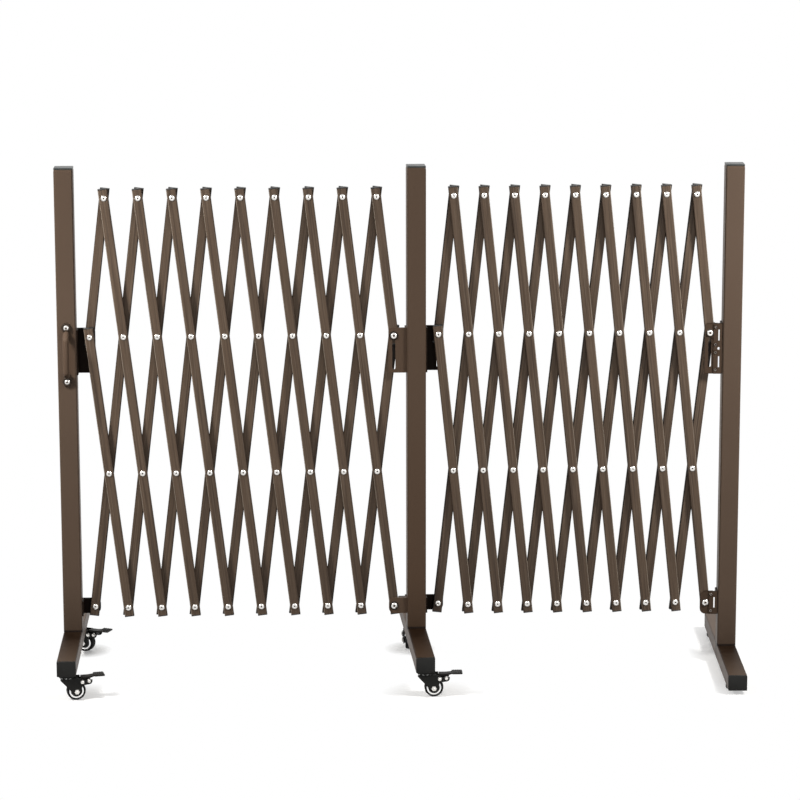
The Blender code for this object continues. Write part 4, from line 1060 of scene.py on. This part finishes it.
@dataclass(frozen=True)
class Post:
    """A post on its T foot."""

    side: Side
    foot_top: float
    height: float = 1092 * MM
    width: float = 40 * MM
    foot_length: float = 500 * MM
    foot_height: float = 33 * MM
    corner: float = 2.6 * MM
    foot_corner: float = 1.6 * MM
    cap_depth: float = 2.8 * MM
    end_cap_depth: float = 4.6 * MM
    cap_inset: float = 0.2 * MM
    cap_proud: float = 0.1 * MM
    cap_edge: float = 0.6 * MM
    end_cap_edge: float = 0.7 * MM
    bead: float = 1.4 * MM
    bead_inset: float = 1.5 * MM
    bead_proud: float = 0.2 * MM
    ripple: float = 0.12

    @property
    def node(self) -> str:
        """The name of the CAD node, which is also its body's."""
        return f"{self.side.value}_post"

    @property
    def x(self) -> float:
        """Where the post stands."""
        return LAYOUT.post_x(self.side)

    @property
    def turn(self) -> float:
        """How far it is turned."""
        return LAYOUT.turn(self.side)

    @property
    def axes(self) -> Matrix:
        """Axes on the floor under the post, turned with it."""
        return Matrix.Translation((self.x, 0.0, 0.0)) @ Matrix.Rotation(self.turn, 4, "Z")

    def weld(self) -> None:
        """The weld seam between the post and its foot, along the front and back."""
        half, steps, shape = self.width / 2, 20, Shape()
        for way in (-1.0, 1.0):
            spots = [((2 * step / steps - 1) * (half - self.bead_inset), way * (half + self.bead_proud),
                      self.foot_top) for step in range(steps + 1)]
            shape.bead([self.axes @ Vector(spot) for spot in spots], self.bead, self.ripple, 8)
        shape.piece(f"{self.node}_weld", Finish.WELD, self.node, "post_paint", 60.0)

    def caps(self) -> None:
        """The plastic caps on the post's top and in both ends of its foot."""
        wide, tall = self.width - 2 * self.cap_inset, self.foot_height - 2 * self.cap_inset
        span = (self.height - self.cap_depth, self.height + self.cap_proud)
        top = Shape().prism((wide, wide), self.corner, span, self.cap_edge, self.axes)
        top.piece(f"{self.node}_cap", Finish.CAP, self.node, "post_paint", 50.0)
        ends, span = Shape(), (-self.end_cap_depth, self.cap_proud)
        for way in (-1.0, 1.0):
            spot = (0.0, way * self.foot_length / 2, self.foot_top - self.foot_height / 2)
            at = self.axes @ facing(spot, (0.0, way, 0.0))
            ends.prism((wide, tall), self.foot_corner, span, self.end_cap_edge, at)
        ends.piece(f"{self.side.value}_foot_caps", Finish.FOOT_CAP, self.node, "post_paint", 50.0)

    def build(self, nodes: Nodes) -> None:
        """Dress the post.

        Args:
            nodes: the CAD nodes.
        """
        dress_node(nodes[self.node], Finish.POST.value.dressed(self))
        self.weld()
        self.caps()


@dataclass(frozen=True)
class FixedBrackets:
    """The two-layer riveted brackets and the pads of the right post."""

    web_reach: float = 20 * MM
    eyelet_radius: float = 2.9 * MM
    eyelet_proud: float = 0.8 * MM
    upper_inset: float = 8.6 * MM
    lower_inset: float = 7.3 * MM

    def eyelet(self, rims: Shape, bores: Shape, spot: Sequence[float]) -> None:
        """A small hollow rivet: a bright rolled rim round a dark bore.

        Args:
            rims: mesh of the rims.
            bores: mesh of the bores.
            spot: centre of its seat on the web.
        """
        r, base, at = self.eyelet_radius, self.eyelet_proud, facing(spot, (0.0, -1.0, 0.0))
        rim = [(r * 0.62, base + 0.1 * MM), (r * 0.66, base + 0.45 * MM), (r * 0.78, base + 0.6 * MM),
               (r * 0.92, base + 0.25 * MM), (r, 0.2 * MM), (r, -0.1 * MM), (r * 0.62, -0.1 * MM)]
        rims.lathe(rim, 20, at, closed=True)
        bore = [(0.0, base + 0.12 * MM), (r * 0.4, base + 0.14 * MM), (r * 0.65, base + 0.2 * MM)]
        bores.lathe(bore, 16, at)

    def build(self, nodes: Nodes) -> None:
        """Dress both brackets and both pads.

        Args:
            nodes: the CAD nodes.
        """
        x = LAYOUT.post_x(Side.RIGHT) - LAYOUT.post_width / 2 - (LAYOUT.plate_near + self.web_reach) / 2
        face = -(LAYOUT.plate_far + LAYOUT.web_thickness)
        for name, inset, extra in (("right_upper_bracket", self.upper_inset, (-1, 1)),
                                   ("right_lower_bracket", self.lower_inset, ())):
            low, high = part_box(name)
            heights = [low.z + inset, high.z - inset, *((low.z + high.z) / 2 + way * inset for way in extra)]
            spots = [Vector((x, face, height)) for height in heights]
            dress_node(nodes[name], Finish.BRACKET.value.dressed(name, spots))
            rims, bores = Shape(), Shape()
            for spot in spots:
                self.eyelet(rims, bores, spot)
            rims.piece(f"{name}_eyelets", Finish.DULL, "right_post", "bracket_paint")
            bores.piece(f"{name}_bores", Finish.RECESS, "right_post", "bracket_paint")
        for name in ("right_front_pad", "right_rear_pad"):
            dress_node(nodes[name], Finish.PAD.material())


@dataclass(frozen=True)
class PullHandle:
    """The bow handle with its two screws."""

    height: float = 696 * MM
    centres: float = 116 * MM
    crown: float = -26.3 * MM
    screw_radius: float = 6.1 * MM
    screw_height: float = 3.2 * MM
    collar_radius: float = 10.2 * MM
    post_face: float = -20 * MM
    seat: float = 0.3 * MM
    bar_radius: float = 6.5 * MM
    boss_radius: float = 9 * MM
    standoff: float = 30 * MM
    bend: float = 12 * MM
    overlap: float = 1.5 * MM
    rounding: float = 0.8 * MM
    bend_steps: int = 12

    def bosses(self, depth: float) -> list[Matrix]:
        """Axes of the lower and the upper boss at a depth, with local Z to the front."""
        x, half = LAYOUT.post_x(Side.LEFT), self.centres / 2
        return [facing((x, depth, self.height + way * half), (0.0, -1.0, 0.0)) for way in (-1, 1)]

    def bow(self) -> Shape:
        """The bent round bar and its two round ends.

        Returns:
            Its mesh.
        """
        shape, face = Shape(), self.post_face - self.seat
        root, out = (face + self.crown) / 2, face - self.standoff
        straight = self.centres / 2 - self.boss_radius - self.bar_radius + self.overlap - self.bend
        quarter = [math.pi / 2 * step / self.bend_steps for step in range(self.bend_steps + 1)]
        upper = [(root + (out - root) * math.sin(turn), straight + self.bend * math.cos(turn))
                 for turn in quarter]
        shape.bead([Vector((LAYOUT.post_x(Side.LEFT), depth, self.height + height))
                    for depth, height in mirrored(upper)], self.bar_radius, 0.0, 24, Vector((1.0, 0.0, 0.0)))
        r, thick, edge = self.boss_radius, face - self.crown, self.rounding
        for at in self.bosses(face):
            shape.lathe([(0.0, 0.0), (r, 0.0), (r, thick - edge), (r - edge, thick), (0.0, thick)], 32, at)
        return shape

    def build(self, nodes: Nodes) -> None:
        """Dress the handle and add its screws.

        Args:
            nodes: the CAD nodes.
        """
        dress_node(nodes["pull_handle"], Finish.HANDLE.material())
        body, slot = "left_post", "handle_paint"
        self.bow().piece("pull_handle_bow", Finish.HANDLE, body, slot, replaces=("pull_handle",))
        heads, recesses, collars = Shape(), Shape(), Shape()
        r, h, c, e = self.screw_radius, self.screw_height, self.collar_radius, self.post_face - self.crown
        rim = scaled(r, h, (0.30, 0.72), (0.36, 1.0), (0.60, 0.93), (0.82, 0.66), (0.96, 0.30), (1.0, 0.0))
        cup = [(r * 0.9, 0.1 * MM), (r * 1.1, 0.6 * MM), (c * 0.86, 0.4 * MM), (c * 0.97, -0.6 * MM),
               (c, -1.8 * MM), (c, -e), (r * 0.9, -e)]
        for at in self.bosses(self.crown):
            heads.lathe([*rim, (r, -0.2 * MM)], 24, at)
            recesses.lathe(scaled(r, h, (0.0, 0.66), (0.31, 0.66), (0.345, 0.92)), 6, at)
            collars.lathe(cup, 32, at, closed=True)
        heads.piece("pull_handle_screws", Finish.ZINC, body, slot)
        recesses.piece("pull_handle_screw_recesses", Finish.SOCKET, body, slot)
        collars.piece("pull_handle_collars", Finish.COLLAR, body, slot)


# Casters


@dataclass(frozen=True)
class Contact:
    """Where the barrier stands on the floor, and how far its shadow is kept along X and Y."""

    spot: Vector
    wide: float = 1.0
    deep: float = 1.0

    def reach(self, x: Signal, y: Signal) -> Signal:
        """The squared distance from the contact, over its reach."""
        across, along = (x - self.spot.x) * (1.0 / self.wide), (y - self.spot.y) * (1.0 / self.deep)
        return across * across + along * along


@dataclass(frozen=True)
class Caster:
    """A braked swivel caster under a foot."""

    side: Side
    end: str
    depth: float
    heading: float
    trail: float = 18.5 * MM
    wheel_radius: float = 20 * MM
    half_width: float = 9 * MM
    cheek_inner: float = 12 * MM
    cheek_outer: float = 14.2 * MM
    hub_radius: float = 8.5 * MM
    bore: float = 3.3 * MM
    nut_radius: float = 5.6 * MM
    nut_height: float = 3.3 * MM
    rivet_radius: float = 4.6 * MM
    rivet_height: float = 2.3 * MM
    fork_rivet: Point = (30.5 * MM, 40 * MM)
    brake_pin: Point = (44.5 * MM, 41.5 * MM)

    @property
    def name(self) -> str:
        """The caster's name."""
        return f"{self.side.value}_{self.end}_caster"

    @property
    def axes(self) -> Matrix:
        """Axes on the floor under the swivel, with local X towards the wheel."""
        turn = LAYOUT.turn(self.side)
        spot = (LAYOUT.post_x(self.side) - self.depth * math.sin(turn), self.depth * math.cos(turn), 0.0)
        return Matrix.Translation(spot) @ Matrix.Rotation(self.heading, 4, "Z")

    @property
    def contact(self) -> Contact:
        """Where its wheel touches the floor."""
        share = 1.0 if self.end == "front" else 0.5
        return Contact(self.axes @ Vector((self.trail, 0.0, 0.0)), share, share)

    def wheel(self) -> None:
        """The wheel: a rubber tyre, a bright ring each side and a dark hub."""
        body, w = f"{self.name}_wheel", self.half_width
        axle = Matrix.Translation((self.trail, 0.0, self.wheel_radius))
        at = self.axes @ axle @ Matrix.Rotation(-math.pi / 2, 4, "X")
        half = [(15.2 * MM, w - 1.0 * MM), (16.0 * MM, w - 0.25 * MM), (17.2 * MM, w),
                (18.4 * MM, w - 0.5 * MM), (19.4 * MM, w - 1.9 * MM), (19.9 * MM, w - 4.2 * MM),
                (self.wheel_radius, w - 7.0 * MM)]
        tyre = Shape().lathe(mirrored(half), 64, at, closed=True)
        tyre.piece(f"{self.name}_tyre", Finish.TYRE, body, "caster_wheel", 40.0, (body,))
        rings = Shape()
        for way in (-MM, MM):
            ring = scaled(MM, way, (11.0, 6.6), (11.2, 8.2), (12.0, 8.8), (14.3, 8.8), (15.2, 8.3), (15.4, 6.6))
            rings.lathe(ring, 56, at, closed=True)
        rings.piece(f"{self.name}_wheel_rings", Finish.CHROME, body, "caster_wheel")
        middle, r = self.cheek_inner - 0.6 * MM, self.hub_radius
        side = [(self.bore, middle), (r - 1.6 * MM, middle), (r - 1.0 * MM, middle - 0.6 * MM), (r, 8.3 * MM),
                *scaled(MM, MM, (9.2, 7.3), (12.4, 7.0), (15.3, 6.8))]
        hub = Shape().lathe(mirrored(side), 48, at, closed=True)
        hub.piece(f"{self.name}_hub", Finish.HUB, body, "caster_wheel")

    def fork(self, fasteners: Fasteners) -> None:
        """The fork's nuts, rivets and swivel race.

        Args:
            fasteners: shapes of the nuts.
        """
        shape, at, body, r = Shape(), self.axes, f"{self.name}_fork", self.rivet_radius
        dome = scaled(r, self.rivet_height, (0.0, 1.0), (0.4, 0.95), (0.7, 0.76), (0.92, 0.4), (1.0, 0.08))
        for way in (-1.0, 1.0):
            out, face = at.to_3x3() @ Vector((0.0, way, 0.0)), way * self.cheek_outer
            axle = facing(at @ Vector((self.trail, face, self.wheel_radius)), out)
            fasteners.nut(shape, self.nut_radius, self.nut_height, axle)
            for across, up in (self.fork_rivet, self.brake_pin):
                shape.lathe([*dome, (r, -0.1 * MM)], 22, facing(at @ Vector((across, face, up)), out))
        shape.piece(f"{self.name}_fork_fasteners", Finish.ZINC, body, "caster_fork")
        race = scaled(MM, MM, (14.6, 49.0), (16.4, 49.1), (17.2, 50.0), (17.2, 51.4), (16.4, 51.9),
                      (14.6, 51.9))
        ring = Shape().lathe(race, 44, at, closed=True)
        ring.piece(f"{self.name}_race", Finish.CHROME, body, "caster_fork")

    def build(self, nodes: Nodes, fasteners: Fasteners) -> None:
        """Dress the caster.

        Args:
            nodes: the CAD nodes.
            fasteners: shapes of the nuts.
        """
        dress_node(nodes[f"{self.name}_brake_pedal"], Finish.PEDAL.material())
        self.wheel()
        dress_node(nodes[f"{self.name}_fork"], Finish.CASTER_STEEL.material())
        self.fork(fasteners)


# Studio


@dataclass(frozen=True)
class Lamp:
    """A soft rectangular lamp, with its watts and the full angle that its light fans out to."""

    name: str
    spot: Spot
    target: Spot
    size: Point
    power: float
    spread: float = math.pi
    mirrored: bool = True
    colour: Colour = (1.0, 0.985, 0.965)

    def build(self) -> None:
        """Hang the lamp."""
        light = bpy.data.lights.new(self.name, "AREA")
        light.shape = "RECTANGLE"
        light.size, light.size_y = self.size
        light.energy, light.spread = self.power, self.spread
        light.color = self.colour
        lamp = linked(self.name, light)
        lamp.location = self.spot
        lamp.rotation_mode = "QUATERNION"
        lamp.rotation_quaternion = (Vector(self.target) - Vector(self.spot)).to_track_quat("-Z", "Y")
        lamp.visible_camera = False
        lamp.visible_glossy = self.mirrored


@dataclass(frozen=True)
class Camera:
    """The camera at the photograph's viewing angle, with its focal length in pixels."""

    focal: float = 3241.18
    frame: float = 800.0
    sensor: float = 36.0
    pitch: float = math.radians(11.7544)
    roll: float = math.radians(-0.0831)
    yaw: float = math.radians(1.8912)
    spot: Spot = (-0.2276, -6.7700, 1.9971)
    clip: Point = (0.1, 100.0)

    def build(self) -> None:
        """Set up the camera."""
        pitch, roll, yaw = self.pitch, self.roll, self.yaw
        ahead = Vector((math.sin(yaw) * math.cos(pitch), math.cos(yaw) * math.cos(pitch), -math.sin(pitch)))
        level = Vector((math.cos(yaw), -math.sin(yaw), 0.0))
        upright = level.cross(ahead)
        right = math.cos(roll) * level + math.sin(roll) * upright
        up = -math.sin(roll) * level + math.cos(roll) * upright
        data = bpy.data.cameras.new("camera")
        data.sensor_width = self.sensor
        data.lens = self.focal * self.sensor / self.frame
        data.clip_start, data.clip_end = self.clip
        camera = linked("camera", data)
        turn = Matrix((right, up, -ahead)).transposed().to_4x4()
        camera.matrix_world = Matrix.Translation(self.spot) @ turn
        bpy.context.scene.camera = camera


@dataclass(frozen=True)
class Studio:
    """A pale floor and background, lamps beside, before and behind the barrier, and the camera."""

    lamps: tuple[Lamp, ...] = (
        Lamp("lamp_left", (-1.8, -1.1, 2.05), (-1.0, 0.0, 0.95), (0.45, 0.45), 20.0, math.radians(90.0)),
        Lamp("lamp_right", (1.8, -1.1, 2.05), (1.0, 0.0, 0.95), (0.45, 0.45), 19.5, math.radians(90.0)),
        Lamp("lamp_left_front", (-1.05, -4.0, 0.85), (-0.7, 0.0, 0.8), (1.2, 1.2), 8.0),
        Lamp("lamp_right_front", (1.35, -4.0, 0.85), (0.7, 0.0, 0.8), (1.2, 1.2), 20.0),
        Lamp("lamp_behind", (0.0, 2.4, 1.9), (0.0, 0.0, 0.6), (2.6, 1.0), 50.0, mirrored=False),
    )
    ambient: float = 0.055
    floor_colour: Colour = (0.80, 0.80, 0.795)
    bounce_colour: Colour = (0.14, 0.14, 0.14)
    floor_clouds: float = 1.5
    floor_lift: float = 0.28
    floor_size: float = 9.0
    floor_drop: float = 0.2 * MM
    shadow_start: float = 0.045
    shadow_end: float = 0.115

    def background(self) -> None:
        """A white world to the camera and in reflections, dimmer as a light."""
        board = Board("studio_world", world=True)
        bpy.context.scene.world = board.owner
        dim, white = (board.node("ShaderNodeBackground", inputs={"Color": WHITE, "Strength": strength})
                      for strength in (self.ambient, 1.0))
        board.close(board.blend(board.rays("Camera", "Glossy", "Transmission"), dim, white))

    def floor(self, contacts: Sequence[Contact]) -> None:
        """A floor that keeps the shadows near the wheels and pads and fades to the white background.

        Args:
            contacts: where the barrier touches the floor.
        """
        board = Board("studio_floor")
        x, y, _ = board.place()
        nearest, *others = (contact.reach(x, y) for contact in contacts)
        for other in others:
            nearest = nearest & other
        far = nearest.ramp(self.shadow_start ** 2, self.shadow_end ** 2)
        clouds, pale = board.noise(self.floor_clouds).ramp(0.3, 0.7), self.floor_colour
        colour = board.mix(clouds, pale, tinted(pale, 0.985))
        seen = board.rays("Camera", "Glossy")
        lit = board.mix(seen, self.bounce_colour, colour)
        matt = board.node("ShaderNodeBsdfDiffuse", inputs={"Color": lit})
        none, lift, white = (board.node("ShaderNodeEmission", inputs={"Color": tone, "Strength": strength})
                             for tone, strength in ((BLACK, 0.0), (WHITE, self.floor_lift), (WHITE, 1.0)))
        lifted = board.blend(seen, none, lift)
        near = board.node("ShaderNodeAddShader", inputs={0: matt.outputs[0], 1: lifted.outputs[0]})
        board.close(board.blend(far * seen, near, white))
        shape, data = bmesh.new(), bpy.data.meshes.new("studio_floor")
        bmesh.ops.create_grid(shape, x_segments=8, y_segments=8, size=self.floor_size)
        shape.to_mesh(data)
        shape.free()
        data.materials.append(board.owner)
        floor = linked("studio_floor", data)
        floor.location = (0.0, 0.0, -self.floor_drop)

    def build(self, contacts: Sequence[Contact]) -> None:
        """Set up the whole studio.

        Args:
            contacts: where the barrier touches the floor.
        """
        bpy.context.scene.view_settings.view_transform = "Standard"
        self.background()
        self.floor(contacts)
        for lamp in self.lamps:
            lamp.build()
        Camera().build()


def main() -> None:
    """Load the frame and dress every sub-assembly."""
    logging.basicConfig(level=logging.INFO, format="%(message)s")
    for thing in list(bpy.data.objects):
        bpy.data.objects.remove(thing)
    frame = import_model()
    nodes, fasteners = frame["nodes"], Fasteners()
    casters = [Caster(side, end, depth * MM, math.radians(heading)) for side, end, depth, heading in (
        (Side.LEFT, "front", -230, 12.0), (Side.LEFT, "rear", 147, -24.0),
        (Side.MIDDLE, "front", -230, 0.0), (Side.MIDDLE, "rear", 147, -97.0))]
    posts = (Post(Side.LEFT, 88 * MM), Post(Side.MIDDLE, 88 * MM), Post(Side.RIGHT, 42 * MM))
    foot = Contact(posts[2].axes @ Vector((-8 * MM, 0.0, 0.0)), 0.55, 3.3)
    Studio().build([*(caster.contact for caster in casters), foot])
    lattices = (Lattice(section, fasteners) for section in (Side.LEFT, Side.RIGHT))
    for part in (*posts, *lattices, FixedBrackets(), PullHandle()):
        part.build(nodes)
    for caster in casters:
        caster.build(nodes, fasteners)


if __name__ == "__main__":
    main()
